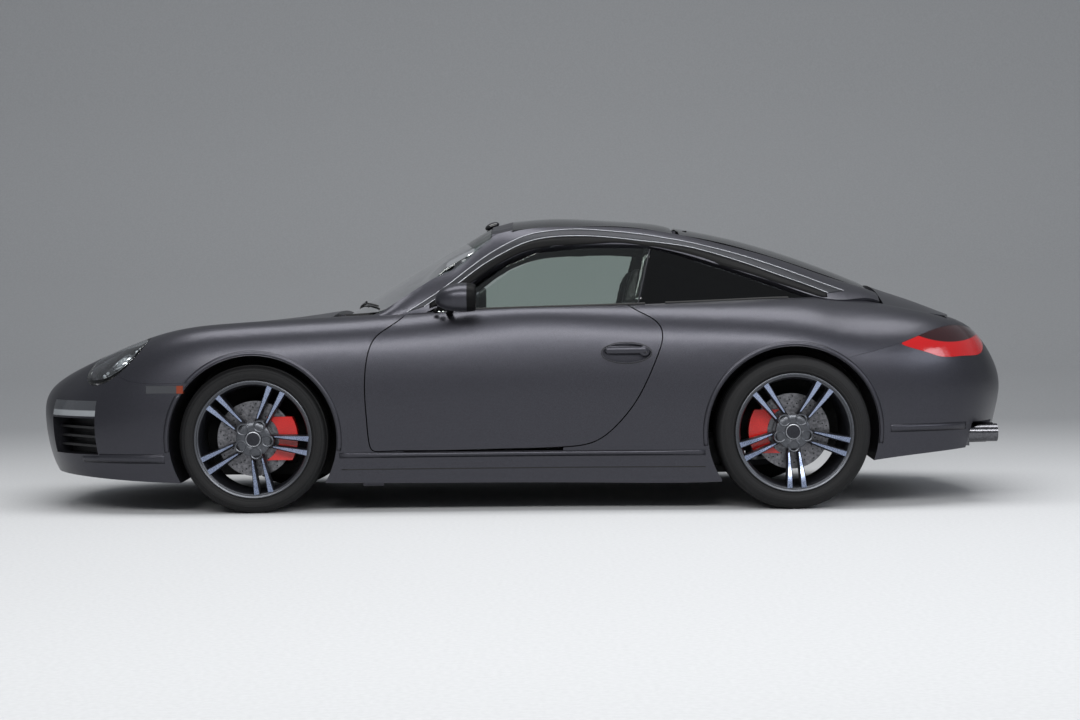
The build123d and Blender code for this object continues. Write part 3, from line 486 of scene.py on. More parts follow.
def makeWheel(axle, row, sideName, side):
    hub = Vector((row["x"], 0, row["tyreRadius"]))
    out, face = row["y"] + row["rimWidth"] / 2, row["hubFace"]
    inn = row["y"] - row["rimWidth"] / 2
    corner = f"{axle}_{sideName}"
    tyre = turnedShell(f"tyreSkin_{corner}", tyreProfile(row), hub, 128, [tyreRubber], side)
    settle(tyre, f"wheel_{corner}", f"tyre_{corner}")
    rimLoop = [
        (0.241, inn + 0.012), (0.256, inn + 0.011), (0.2565, inn), (0.229, inn + 0.001),
        (0.229, out - 0.070), (0.234, out - 0.030), (0.2385, out - 0.012), (0.2415, out - 0.008),
        (0.2455, out - 0.006), (0.2475, out - 0.0025), (0.2535, out), (0.2560, out - 0.001),
        (0.2565, out - 0.004), (0.2560, out - 0.011), (0.241, out - 0.0135)]
    rim = turnedShell(
        "rim", rimLoop, hub, 128, [darkAlloy, hubAlloy], side, lambda k: 1 if 6 <= k <= 12 else 0)
    spokes = spreadRound(spokeMesh(row, side), "spokes", [cutAlloy, darkAlloy], 5, row["turn"], hub)
    bossLoop = [(0.027, face - 0.046), (0.074, face - 0.046), (0.078, face - 0.020), (0.076, face - 0.010),
                (0.070, face - 0.006), (0.040, face - 0.004), (0.036, face - 0.006), (0.027, face - 0.007)]
    boss = turnedShell("boss", bossLoop, hub, 96, [hubAlloy], side)
    capLoop = [
        (0.0005, face - 0.007), (0.034, face - 0.007), (0.0345, face - 0.002), (0.033, face + 0.0005),
        (0.030, face + 0.0012), (0.0285, face - 0.0005), (0.018, face + 0.0005), (0.0005, face + 0.001)]
    cap = turnedShell(
        "cap", capLoop, hub, 64, [darkAlloy, satinTrim], side, lambda k: 1 if 2 <= k <= 4 else 0)
    lugBm = bmesh.new()
    lugAxis, lugSpot = Vector((0, side, 0)), Vector((0, side * face, 0.062))
    # collar round the hole, floor of the hole (black, painted shade in the recess), head of the bolt:
    # segments and profile
    collar = [(0.0300, -0.030), (0.0285, -0.008), (0.0270, -0.0035), (0.0235, -0.0015), (0.0200, -0.003),
              (0.0185, -0.006), (0.0185, -0.016)]
    lugRows = ((32, collar), (32, [(0.0185, -0.0155), (0.0005, -0.0155)]),
               (6, [(0.0115, -0.0155), (0.0110, -0.007), (0.0095, -0.006), (0.0005, -0.006)]))
    for index, (segments, profile) in enumerate(lugRows):
        turnedOn(profile, lugAxis, lugSpot, segments, lugBm, index)
    outward(lugBm)
    lugs = spreadRound(lugBm, "lugs", [hubAlloy, sealRubber, castMetal], 5, row["turn"], hub)
    for poly in lugs.data.polygons:
        poly.use_smooth = True
    wheel = joinPieces(f"alloyWheel_{corner}", [rim, spokes, boss, cap, lugs])
    settle(withEdges(wheel, 32), f"wheel_{corner}", f"wheel_{corner}")


for axle, row in wheelSettings.items():
    for sideName, side in sides:
        makeWheel(axle, row, sideName, side)
print("wheels and tyres made")


# body surface lookup for trim that lies on the panels
def surfaceTree(names):
    bm = bmesh.new()
    for name in names:
        bm.from_mesh(nodes[name].data)
    tree = BVHTree.FromBMesh(bm)
    bm.free()
    return tree


skin = surfaceTree([name for name in finishes[paint] if name != "roof_frame"])


def onSurface(tree, start, direction, lift):
    # where a ray meets the surface, lifted along its normal
    spot, normal = tree.ray_cast(Vector(start), Vector(direction))[:2]
    return spot + normal * lift if spot else None


def sidePoint(x, z, side, lift):
    return onSurface(skin, (x, side * 1.5, z), (0, -side, 0), lift)


def tubeAlong(name, points, radius, mat, body):
    # smooth rod through the points
    curve = bpy.data.curves.new(name, "CURVE")
    curve.dimensions = "3D"
    curve.bevel_depth = radius
    curve.bevel_resolution = 4
    curve.use_fill_caps = True
    curve.resolution_u = 6
    line = curve.splines.new("NURBS")
    line.points.add(len(points) - 1)
    for spot, at in zip(line.points, points):
        spot.co = (*at, 1.0)
    line.order_u = 3
    line.use_endpoint_u = True
    maker = addObject(name, curve)
    deps = bpy.context.evaluated_depsgraph_get()
    mesh = bpy.data.meshes.new_from_object(maker.evaluated_get(deps))
    bpy.data.objects.remove(maker)
    mesh.materials.clear()
    dress(mesh, [mat])
    return settle(addObject(name, mesh), body)


# line through rows by Catmull-Rom, and the row at one x
def smoothRows(rows, steps):
    found = []
    for i in range(len(rows) - 1):
        a, b = rows[max(i - 1, 0)], rows[i]
        c, d = rows[i + 1], rows[min(i + 2, len(rows) - 1)]
        for k in range(steps):
            t = k / steps
            found.append(tuple(0.5 * (2 * q + (r - p) * t + (2 * p - 5 * q + 4 * r - s) * t * t
                                      + (3 * q - p - 3 * r + s) * t ** 3) for p, q, r, s in zip(a, b, c, d)))
    return found + [rows[-1]]


def rowAt(rows, x):
    x = min(max(x, rows[0][0]), rows[-1][0])
    for here, there in zip(rows, rows[1:]):
        if x <= there[0]:
            t = (x - here[0]) / (there[0] - here[0])
            return [p + (q - p) * t for p, q in zip(here, there)]


def ease(low, high, value):
    t = min(max((value - low) / (high - low), 0.0), 1.0)
    return t * t * (3 - 2 * t)


# front pillars: the roof's front corners are drawn to a straight, fuller pillar line
# rows: x, rail's low z, solid's top z, top z wanted
pillarRows = (
    (-0.680, 0.852, 0.880, 0.860), (-0.640, 0.853, 0.940, 0.868), (-0.610, 0.855, 0.958, 0.879),
    (-0.580, 0.858, 0.964, 0.897), (-0.550, 0.862, 0.969, 0.916), (-0.520, 0.866, 0.972, 0.935),
    (-0.490, 0.872, 0.974, 0.955), (-0.460, 0.878, 0.974, 0.974), (-0.400, 0.892, 0.977, 1.014),
    (-0.340, 0.910, 0.989, 1.053), (-0.280, 0.952, 1.028, 1.093), (-0.220, 0.994, 1.072, 1.135),
    (-0.160, 1.036, 1.120, 1.180), (-0.120, 1.062, 1.147, 1.209), (-0.080, 1.088, 1.172, 1.226),
    (-0.040, 1.106, 1.192, 1.235), (0.020, 1.128, 1.216, 1.242), (0.080, 1.145, 1.229, 1.246),
    (0.140, 1.152, 1.237, 1.246), (0.280, 1.162, 1.245, 1.245),)
pillarShape = {"firstX": -0.70, "lastX": 0.28, "outer": 0.58, "lean": 0.3, "railFrom": 0.45, "railTo": 0.56}


def drawnUp(name, node, mat, isRail):
    # copy of the solid with its front corners moved to the pillar line
    bm = bmesh.new()
    bm.from_mesh(nodes[node].data)
    bmesh.ops.remove_doubles(bm, verts=bm.verts, dist=0.00002)
    for vert in bm.verts:
        x, wide, z = vert.co.x, abs(vert.co.y), vert.co.z
        if not pillarShape["firstX"] < x < pillarShape["lastX"]:
            continue
        lowZ, topZ, wantZ = rowAt(pillarRows, x)[1:]
        rise = max(wantZ - topZ, 0.0) * min(wide / pillarShape["outer"], 1.0) ** 2
        if isRail:
            onRail = (wantZ - topZ) * min(max((z - lowZ) / (topZ - lowZ), 0.0), 1.0)
            rise += (onRail - rise) * ease(pillarShape["railFrom"], pillarShape["railTo"], wide)
            vert.co.y -= math.copysign(pillarShape["lean"] * max(rise, 0.0), vert.co.y)
        vert.co.z += rise
    outward(bm)
    return settle(withEdges(meshPiece(name, bm, [mat]), 34), "chassis", node)


roofFrame = drawnUp("roofFrameSkin", "roof_frame", paint, True)
drawnUp("windscreenPane", "windscreen", screenGlass, False)
drawnUp("roofPane", "roof_glass", darkGlass, False)
roofSkin = BVHTree.FromObject(roofFrame, bpy.context.evaluated_depsgraph_get())


def roofPoint(x, z, side, lift):
    spot = onSurface(roofSkin, (x, side * 1.5, z), (0, -side, 0), lift)
    return spot if spot and abs(spot.y) > 0.4 else None


def ribbon(name, lines, mat, body, thick=0.0012):
    # sheet over several lines of points, given a little thickness
    bm = bmesh.new()
    bridge(bm, [[bm.verts.new(p) for p in line] for line in lines], False)
    outward(bm)
    return settle(withWall(meshPiece(name, bm, [mat]), thick, 0.0), body)


# two thin bright lines along the roof's side, a dark groove between them and a black window surround below
# rows: x, z
upperLine = (
    (-0.506, 0.870), (-0.359, 0.964), (-0.184, 1.097), (-0.081, 1.161), (0.021, 1.207), (0.124, 1.227),
    (0.253, 1.234), (0.382, 1.225), (0.533, 1.208), (0.658, 1.187), (0.783, 1.162), (0.970, 1.113),
    (1.155, 1.051), (1.308, 0.993), (1.439, 0.944))
lowerLine = (
    (-0.430, 0.893), (-0.300, 0.980), (-0.183, 1.068), (-0.081, 1.129), (0.021, 1.176), (0.124, 1.198),
    (0.252, 1.203), (0.381, 1.196), (0.532, 1.178), (0.657, 1.163), (0.781, 1.140), (0.967, 1.084),
    (1.151, 1.016), (1.273, 0.971), (1.363, 0.935))
windowLine = (
    (-0.430, 0.878), (-0.344, 0.910), (-0.217, 0.998), (-0.080, 1.090), (0.059, 1.145), (0.300, 1.165),
    (0.525, 1.160), (0.944, 1.047), (1.150, 0.978), (1.330, 0.917))
roofTrim = {
    "radius": 0.0019, "lift": 0.0012, "steps": 8, "grooveLift": 0.0009, "surroundLift": 0.0011,
    "surroundGap": 0.003}


def keepRows(lines):
    # drops the places where any line has no surface under it
    kept = [spots for spots in zip(*lines) if all(spot is not None for spot in spots)]
    return [list(line) for line in zip(*kept)]


upperRun, lowerRun = smoothRows(upperLine, roofTrim["steps"]), smoothRows(lowerLine, roofTrim["steps"])
windowRun = smoothRows(windowLine, roofTrim["steps"])
for sideName, side in sides:
    for label, run in (("roofEdge", upperRun), ("windowEdge", lowerRun)):
        path = [p for p in (roofPoint(x, z, side, roofTrim["lift"]) for x, z in run) if p]
        tubeAlong(f"{label}Strip_{sideName}", path, roofTrim["radius"], satinTrim, "chassis")
    lines = []
    for k in range(5):
        mixed = [(a + (c - a) * k / 4, b + (d - b) * k / 4) for (a, b), (c, d) in zip(lowerRun, upperRun)]
        lines.append([roofPoint(x, z, side, roofTrim["grooveLift"]) for x, z in mixed])
    ribbon(f"roofGroove_{sideName}", keepRows(lines), darkTrim, "chassis")
    lines = []
    for k in range(4):
        run = []
        for x, z in lowerRun[2:-1]:
            low, high = rowAt(windowRun, x)[1], z - roofTrim["surroundGap"]
            run.append(roofPoint(x, low + (high - low) * k / 3, side, roofTrim["surroundLift"]))
        lines.append(run)
    ribbon(f"windowSurround_{sideName}", keepRows(lines), dullBlack, "chassis")
print("roof trim made")

# small black aerial housing on the middle of the header
aerialSettings = {"x": -0.142, "z": 1.272, "halfX": 0.034, "halfY": 0.030, "halfZ": 0.018, "slope": 0.3}
bm = bmesh.new()
bmesh.ops.create_uvsphere(bm, u_segments=32, v_segments=16, radius=1.0)
for vert in bm.verts:
    offX = aerialSettings["halfX"] * vert.co.x
    offZ = aerialSettings["halfZ"] * vert.co.z + aerialSettings["slope"] * offX
    vert.co = Vector(
        (aerialSettings["x"] + offX, aerialSettings["halfY"] * vert.co.y, aerialSettings["z"] + offZ))
settle(meshPiece("aerialHousing", bm, [glossBlack]), "chassis")

# side glass plane: x, low y, top y (metres)
paneRows = (
    (-0.660, 0.748, 0.554), (-0.200, 0.764, 0.570), (0.350, 0.766, 0.572), (0.600, 0.760, 0.566),
    (0.944, 0.735, 0.538), (1.345, 0.697, 0.500))
paneShape = {"topZ": 1.190, "tall": 0.340, "bulge": 0.009, "middleZ": 0.995, "halfTall": 0.195}
# belt line on the body: x, y, z
beltRows = (
    (-0.760, 0.668, 0.850), (-0.200, 0.768, 0.878), (0.350, 0.772, 0.890), (0.800, 0.748, 0.902),
    (1.175, 0.712, 0.914), (1.400, 0.660, 0.900))


def paneY(x, z):
    low, top = rowAt(paneRows, x)[1:]
    bulge = paneShape["bulge"] * (1 - ((z - paneShape["middleZ"]) / paneShape["halfTall"]) ** 2)
    return top + (low - top) / paneShape["tall"] * (paneShape["topZ"] - z) + bulge


beltRun = smoothRows(beltRows, 10)
beltSeal = {"radius": 0.0065, "inset": 0.006, "rise": 0.001}
beltSpans = (("door", -0.44, 0.560), ("quarter", 0.625, 1.20))  # name, first and last x
pillar = {"low": (0.511, 0.893), "top": (0.573, 1.138), "radius": 0.0036, "inset": 0.002,
          "coverWidth": 0.085, "coverBack": 0.026, "coverInset": 0.014}
for sideName, side in sides:
    for label, x0, x1 in beltSpans:
        path = [(x, side * (y - beltSeal["inset"]), z + beltSeal["rise"])
                for x, y, z in beltRun if x0 <= x <= x1]
        body = f"door_{sideName}" if label == "door" else "chassis"
        tubeAlong(f"{label}BeltSeal_{sideName}", path, beltSeal["radius"], sealRubber, body)
    (lowX, lowZ), (topX, topZ) = pillar["low"], pillar["top"]
    run = [(lowX + (topX - lowX) * k / 6, lowZ + (topZ - lowZ) * k / 6) for k in range(7)]
    strip = [(x, side * (paneY(x, z) - pillar["inset"]), z) for x, z in run]
    tubeAlong(f"pillarStrip_{sideName}", strip, pillar["radius"], darkTrim, "chassis")
    cover = []
    for k in range(5):
        shift = pillar["coverWidth"] * k / 4 - pillar["coverBack"]
        cover.append([(x + shift, side * (paneY(x, z) - pillar["coverInset"]), z) for x, z in run])
    ribbon(f"pillarCover_{sideName}", cover, glossBlack, "chassis", 0.004)
print("window trim made")

# door mirrors: rings from the rounded nose to the glass
mirrorSettings = {
    "noseX": -0.372, "backX": -0.196, "y": 0.886, "z": 0.932, "halfY": 0.085, "halfZ": 0.063,
    "noseDrop": 0.012, "round": 0.85}
for sideName, side in sides:
    m = mirrorSettings
    bm = bmesh.new()
    stations = [
        (0.0, 0.12, 0), (0.02, 0.28, 0), (0.06, 0.46, 0), (0.14, 0.65, 0), (0.28, 0.83, 0), (0.46, 0.94, 0),
        (0.64, 1.0, 0), (0.78, 1.0, 0), (0.80, 0.985, 1), (0.88, 0.975, 1), (0.95, 0.93, 1),
        (0.99, 0.86, 1), (0.985, 0.80, 1), (0.97, 0.79, 2)]
    rings = []
    for t, grow, index in stations:
        x, midZ = m["noseX"] + (m["backX"] - m["noseX"]) * t, m["z"] - m["noseDrop"] * (1 - grow)
        outline = superRing(m["halfY"] * grow, m["halfZ"] * grow, m["round"], 40)
        rings.append([bm.verts.new((x, side * (m["y"] + across), midZ + up)) for across, up in outline])
    for pair, (t, grow, index) in zip(zip(rings, rings[1:]), stations[1:]):
        bridge(bm, pair, index=min(index, 1))
    bm.faces.new(rings[0])
    bm.faces.new(rings[-1]).material_index = 2
    outward(bm)
    head = meshPiece(f"mirrorHead_{sideName}", bm, [paint, dullBlack, mirrorGlass])
    settle(withEdges(head, 40), f"door_{sideName}", f"mirror_{sideName}")
    neck = [(-0.300, side * 0.868, 0.900), (-0.305, side * 0.835, 0.888), (-0.312, side * 0.800, 0.872),
            (-0.318, side * 0.772, 0.862)]
    tubeAlong(f"mirrorNeck_{sideName}", neck, 0.015, dullBlack, f"door_{sideName}")
    footBm = bmesh.new()
    for x, y, z, radius in ((-0.352, 0.802, 0.888, 0.017), (-0.376, 0.786, 0.876, 0.012)):
        bmesh.ops.create_uvsphere(
            footBm, u_segments=24, v_segments=16, radius=radius,
            matrix=Matrix.Translation((x, side * y, z)))
    settle(meshPiece(f"mirrorFoot_{sideName}", footBm, [dullBlack]), f"door_{sideName}")
print("mirrors made")

# door handles: grip with its lock in the oval bowl, thin dark ring round the bowl
handleSettings = {
    "x": 0.453, "z": 0.684, "halfX": 0.105, "halfZ": 0.042, "rimOff": 0.004, "gripY": 0.867, "gripZ": 0.696,
    "gripLong": 0.186, "gripDeep": 0.0165, "gripHigh": 0.0195}
# grip from front to back: share of its length, share of its thickness
gripRows = (
    (0.0, 0.55), (0.02, 0.75), (0.07, 0.90), (0.18, 1.0), (0.5, 1.0), (0.8, 1.05), (0.92, 1.1),
    (0.98, 0.95), (1.0, 0.7))
for sideName, side in sides:
    h = handleSettings
    rim = []
    for k in range(49):
        a = 2 * math.pi * k / 48
        x = h["x"] + (h["halfX"] + h["rimOff"]) * math.cos(a)
        z = h["z"] + (h["halfZ"] + h["rimOff"]) * math.sin(a)
        rim.append(sidePoint(x, z, side, 0.0006))
    tubeAlong(f"handleRim_{sideName}", rim, 0.0016, sealRubber, f"door_{sideName}")
    bm = bmesh.new()
    rings = []
    for t, grow in gripRows:
        x = h["x"] + h["gripLong"] * (t - 0.5)
        outline = superRing(h["gripDeep"] * grow, h["gripHigh"] * grow, 1.0, 24)
        rings.append([bm.verts.new((x, side * (h["gripY"] + deep), h["gripZ"] + up)) for deep, up in outline])
    bridge(bm, rings)
    bm.faces.new(rings[0])
    bm.faces.new(rings[-1])
    outward(bm)
    lockSpot = Vector((h["x"] + 0.080, side * 0.872, h["z"] + 0.008))
    turnedOn([(0.026, -0.030), (0.0255, 0.004), (0.0235, 0.009), (0.0195, 0.011), (0.0115, 0.0112)],
             Vector((0, side, 0)), lockSpot, 40, bm, 0)
    turnedOn(
        [(0.0115, 0.0112), (0.0105, 0.0095), (0.0005, 0.0095)], Vector((0, side, 0)), lockSpot, 40, bm, 1)
    settle(meshPiece(f"doorGrip_{sideName}", bm, [paint, glossBlack]), f"door_{sideName}")
print("handles made")

# headlamps: clear cover over a dark bowl with a projector and a ring of small lights
lampSettings = {
    "centre": (-1.762, 0.650, 0.640), "axis": (-0.56, 0.30, 0.77), "cover": 0.003, "bowlDepth": 0.040,
    "keep": 0.3}


def lampFrame(side):
    # lamp axis and centre on one side of the car
    flip = Vector((1, side, 1))
    return (Vector(lampSettings["axis"]) * flip).normalized(), Vector(lampSettings["centre"]) * flip


def lampSurface(name, mat, shrink, push):
    # outer faces of the lamp solids, drawn in and pushed down the lamp's axis
    bm = bmesh.new()
    bm.from_mesh(nodes["headlamps"].data)
    bmesh.ops.remove_doubles(bm, verts=bm.verts, dist=0.00005)
    for face in list(bm.faces):
        axis, centre = lampFrame(1 if face.calc_center_median().y > 0 else -1)
        if face.normal.dot(axis) < lampSettings["keep"]:
            bm.faces.remove(face)
    for vert in [v for v in bm.verts if not v.link_faces]:
        bm.verts.remove(vert)
    for vert in bm.verts:
        axis, centre = lampFrame(1 if vert.co.y > 0 else -1)
        offset = vert.co - centre
        along = axis * offset.dot(axis)
        vert.co = centre + along + (offset - along) * shrink - axis * push
    return withWall(meshPiece(name, bm, [mat]), lampSettings["cover"], -1.0)


settle(lampSurface("headlampCover", lensGlass, 0.998, 0.0), "chassis", "headlamps")
bowl = settle(
    lampSurface("headlampBowl", glossBlack, 0.985, lampSettings["bowlDepth"]), "chassis")
bowlTree = BVHTree.FromObject(bowl, bpy.context.evaluated_depsgraph_get())
for sideName, side in sides:
    axis, centre = lampFrame(side)
    spot = bowlTree.ray_cast(centre + axis * 0.4, -axis)[0] or centre
    bm = bmesh.new()
    turnedOn([(0.052, -0.006), (0.052, 0.004), (0.046, 0.008), (0.040, 0.004), (0.038, -0.004)], axis, spot,
             48, bm, 0)
    turnedOn([(0.0005, 0.014), (0.018, 0.011), (0.030, 0.004), (0.037, -0.003)], axis, spot, 48, bm, 1)
    across = axis.cross(Vector((0, 1, 0))).normalized()
    for reach in (-0.100, -0.080, 0.080, 0.100):
        turnedOn([(0.0005, 0.006), (0.006, 0.004), (0.009, -0.004)], axis, spot + across * reach, 16, bm, 1)
    outward(bm)
    settle(meshPiece(f"lampProjector_{sideName}", bm, [lampChrome, lampLight]), "chassis")
print("headlamps made")

# raised lips round the wheel arches, and a black strip along the sill as painted shade in its split line
archSettings = {"from": -8, "span": 196, "steps": 72, "leastY": 0.80}  # degrees, metres
archLip = ((0.0025, 0.0012), (0.006, 0.0035), (0.013, 0.0032), (0.021, 0.0002))  # beyond the radius, lift
sillSplitShade = {"firstX": -0.79, "long": 1.58, "heights": (0.186, 0.190), "lift": 0.0008}
# soft creases: name, first and last x, heights from the top down, lift at each height
creaseSettings = (
    ("sillLip", -0.800, 0.790, (0.2600, 0.2560, 0.2500, 0.2380), (0.001, 0.0065, 0.0070, 0.0)),
    ("noseCrease", -1.950, -1.560, (0.262, 0.250, 0.240, 0.222), (0.0, 0.007, 0.0075, 0.0)),
    ("tailCrease", 1.600, 1.960, (0.360, 0.350, 0.342, 0.326), (0.0, 0.005, 0.0055, 0.0)),
)
for sideName, side in sides:
    for axle, row in wheelSettings.items():
        lines = []
        for off, lift in archLip:
            line = []
            for step in range(archSettings["steps"] + 1):
                a = math.radians(archSettings["from"] + archSettings["span"] * step / archSettings["steps"])
                reach = row["archRadius"] + off
                spot = sidePoint(
                    row["x"] + reach * math.cos(a), row["tyreRadius"] + reach * math.sin(a), side, lift)
                line.append(spot if spot and abs(spot.y) > archSettings["leastY"] else None)
            lines.append(line)
        ribbon(f"archLip_{axle}_{sideName}", keepRows(lines), paint, "chassis", 0.0015)
    run = [sillSplitShade["firstX"] + sillSplitShade["long"] * k / 40 for k in range(41)]
    split = [[sidePoint(x, z, side, sillSplitShade["lift"]) for x in run] for z in sillSplitShade["heights"]]
    # black strip in the seal rubber finish: painted shade of the split line's gap
    ribbon(f"sillSplitShade_{sideName}", split, sealRubber, "chassis", 0.001)
    for label, x0, x1, heights, lifts in creaseSettings:
        run = [(x0 + (x1 - x0) * k / 40, min(1.0, 6 * k / 40, 6 * (40 - k) / 40)) for k in range(41)]
        lines = [[sidePoint(x, z, side, 0.0004 + lift * swell) for x, swell in run] for z,
                 lift in zip(heights, lifts)]
        ribbon(f"{label}_{sideName}", keepRows(lines), paint, "chassis", 0.0014)
print("arch lips made")


# seats: padded leather forms, lofted ring by ring, then puffed by a short cloth run
def padLoft(name, rows, centreY, side, bolster, count=48):
    # the face side is lifted at its edges by the bolster
    bm = bmesh.new()
    rings = []
    for x, z, faceX, faceZ, halfWide, halfDeep in rows:
        face = Vector((faceX, 0, faceZ)).normalized()
        ring = []
        for across, deep in superRing(halfWide, halfDeep, 0.55, count):
            lift = bolster * (ease(0.48, 0.82, abs(across) / halfWide) - 0.35) if deep > 0 else 0.0
            spot = Vector((x, side * (centreY + across), z)) + face * (deep + lift)
            ring.append(bm.verts.new(spot))
        rings.append(ring)
    bridge(bm, rings)
    bm.faces.new(rings[0])
    bm.faces.new(rings[-1])
    outward(bm)
    return meshPiece(name, bm, [leather])


puffSettings = {"voxel": 0.009, "pressure": 3.0, "frames": 14, "most": 0.008}


def puff(piece):
    # short cloth run with inner pressure, each point held to a small move
    shape = piece.modifiers.new("even", "REMESH")
    shape.mode = "VOXEL"
    shape.voxel_size = puffSettings["voxel"]
    baked(piece)
    rest = [v.co.copy() for v in piece.data.vertices]
    cloth = piece.modifiers.new("puff", "CLOTH")
    cloth.settings.use_pressure = True
    cloth.settings.uniform_pressure_force = puffSettings["pressure"]
    cloth.settings.effector_weights.gravity = 0.0
    cloth.settings.quality = 4
    cloth.point_cache.frame_start, cloth.point_cache.frame_end = 1, puffSettings["frames"]
    for number in range(1, puffSettings["frames"] + 1):
        scene.frame_set(number)
    baked(piece)
    scene.frame_set(1)
    for vert, home in zip(piece.data.vertices, rest):
        move = vert.co - home
        if move.length > puffSettings["most"]:
            vert.co = home + move.normalized() * puffSettings["most"]
    smooth = piece.modifiers.new("soft", "SMOOTH")
    smooth.factor, smooth.iterations = 0.5, 3
    baked(piece)
    piece.data.materials.clear()
    dress(piece.data, [leather])
    return piece


def mirroredCopy(piece, name):
    mesh = piece.data.copy()
    mesh.name = name
    mesh.transform(Matrix.Scale(-1, 4, (0, 1, 0)))
    mesh.flip_normals()
    return addObject(name, mesh)


# rows: x, z, face direction x, face direction z, half width, half depth
seatBackRows = [
    (0.425, 0.400, -0.98, 0.17, 0.190, 0.034), (0.432, 0.440, -0.98, 0.17, 0.208, 0.042),
    (0.452, 0.560, -0.98, 0.17, 0.212, 0.044), (0.474, 0.680, -0.98, 0.17, 0.212, 0.042),
    (0.494, 0.790, -0.98, 0.17, 0.205, 0.040), (0.508, 0.870, -0.98, 0.17, 0.178, 0.036),
    (0.518, 0.920, -0.98, 0.18, 0.140, 0.034), (0.528, 0.975, -0.98, 0.19, 0.122, 0.034),
    (0.537, 1.025, -0.98, 0.19, 0.112, 0.031), (0.543, 1.055, -0.98, 0.19, 0.088, 0.022)]
seatCushionRows = [
    (-0.150, 0.405, 0.1, 1.0, 0.175, 0.040), (-0.135, 0.408, 0.1, 1.0, 0.195, 0.058),
    (-0.060, 0.410, 0.1, 1.0, 0.204, 0.060), (0.060, 0.400, 0.1, 1.0, 0.206, 0.058),
    (0.200, 0.388, 0.1, 1.0, 0.206, 0.054), (0.320, 0.380, 0.1, 1.0, 0.200, 0.050),
    (0.375, 0.380, 0.1, 1.0, 0.180, 0.042)]
rearCushionRows = [
    (0.652, 0.330, -0.1, 1.0, 0.175, 0.045), (0.668, 0.335, -0.1, 1.0, 0.190, 0.055),
    (0.740, 0.330, 0.0, 1.0, 0.194, 0.052), (0.800, 0.326, 0.1, 1.0, 0.190, 0.048),
    (0.822, 0.326, 0.1, 1.0, 0.175, 0.040)]
rearBackRows = [
    (0.868, 0.400, -1.0, 0.1, 0.170, 0.022), (0.869, 0.430, -1.0, 0.1, 0.190, 0.026),
    (0.871, 0.560, -1.0, 0.1, 0.190, 0.022), (0.873, 0.680, -1.0, 0.1, 0.180, 0.019),
    (0.874, 0.742, -1.0, 0.1, 0.150, 0.014)]
# name, rows, centre y, bolster, node stood for
seatSettings = (
    ("frontSeatBack", seatBackRows, 0.375, 0.030, "front_seats"),
    ("frontSeatCushion", seatCushionRows, 0.375, 0.026, "front_seats"),
    ("rearSeatCushion", rearCushionRows, 0.352, 0.010, "rear_seats"),
    ("rearSeatBack", rearBackRows, 0.352, 0.006, "rear_seats"),
)
for label, rows, centreY, bolster, node in seatSettings:
    right = puff(padLoft(f"{label}_right", rows, centreY, 1, bolster))
    left = mirroredCopy(right, f"{label}_left")
    for piece in (right, left):
        settle(piece, "chassis", node)
print("seats made")


# seat plinths and the moulded tray under the rear seats, chamfered
def chamferBox(bm, low, high, cut, side):
    made = bmesh.ops.create_cube(bm, size=1.0)
    for vert in made["verts"]:
        vert.co = Vector([(low[i] + high[i]) / 2 + vert.co[i] * (high[i] - low[i]) for i in range(3)])
        vert.co.y *= side
    edges = list({edge for vert in made["verts"] for edge in vert.link_edges})
    bmesh.ops.bevel(bm, geom=edges, offset=cut, segments=2, affect="EDGES", profile=0.6)


for sideName, side in sides:
    bm = bmesh.new()
    chamferBox(bm, (-0.090, 0.195, 0.205), (0.395, 0.555, 0.345), 0.018, side)
    for y0 in (0.205, 0.515):
        chamferBox(bm, (-0.100, y0, 0.1705), (0.400, y0 + 0.030, 0.210), 0.004, side)
    outward(bm)
    settle(meshPiece(f"seatPlinth_{sideName}", bm, [grainPlastic], smooth=False), "chassis")
    bm = bmesh.new()
    chamferBox(bm, (0.646, 0.150, 0.1705), (0.895, 0.555, 0.292), 0.012, side)
    outward(bm)
    settle(meshPiece(f"rearSeatTray_{sideName}", bm, [grainPlastic], smooth=False), "chassis")
print("seat bases made")

# wipers parked along the foot of the screen
wiperSettings = {"bladeRadius": 0.0045, "armRadius": 0.0055, "lift": 0.007, "restZ": 0.893, "bow": 0.012,
                 "pivotZ": 0.884, "pivotLift": 0.006}
# arm from its foot to the middle of the blade: share, off x, off z
armRows = ((0.0, 0.0, 0.0), (0.12, -0.001, 0.006), (0.45, -0.003, 0.010), (1.0, -0.003, 0.007))
screenSkin = surfaceTree(["windscreen"])


def screenPoint(y, z, lift):
    return onSurface(screenSkin, (-1.6, y, z), (1, 0, 0), lift)


for number, (tipY, heelY, pivotY) in enumerate(((-0.560, 0.020, 0.060), (-0.060, 0.500, 0.540))):
    w = wiperSettings
    run = [(tipY + (heelY - tipY) * k / 8, w["restZ"] + w["bow"] * math.sin(math.pi * k / 8))
           for k in range(9)]
    blade = [p for p in (screenPoint(y, z, w["lift"]) for y, z in run) if p]
    tubeAlong(f"wiperBlade_{number}", blade, w["bladeRadius"], sealRubber, "chassis")
    middle = blade[len(blade) // 2]
    foot = screenPoint(pivotY, w["pivotZ"], w["pivotLift"])
    arm = [foot.lerp(middle, t) + Vector((offX, 0, offZ)) for t, offX, offZ in armRows]
    tubeAlong(f"wiperArm_{number}", arm, w["armRadius"], glossBlack, "chassis")
print("wipers made")

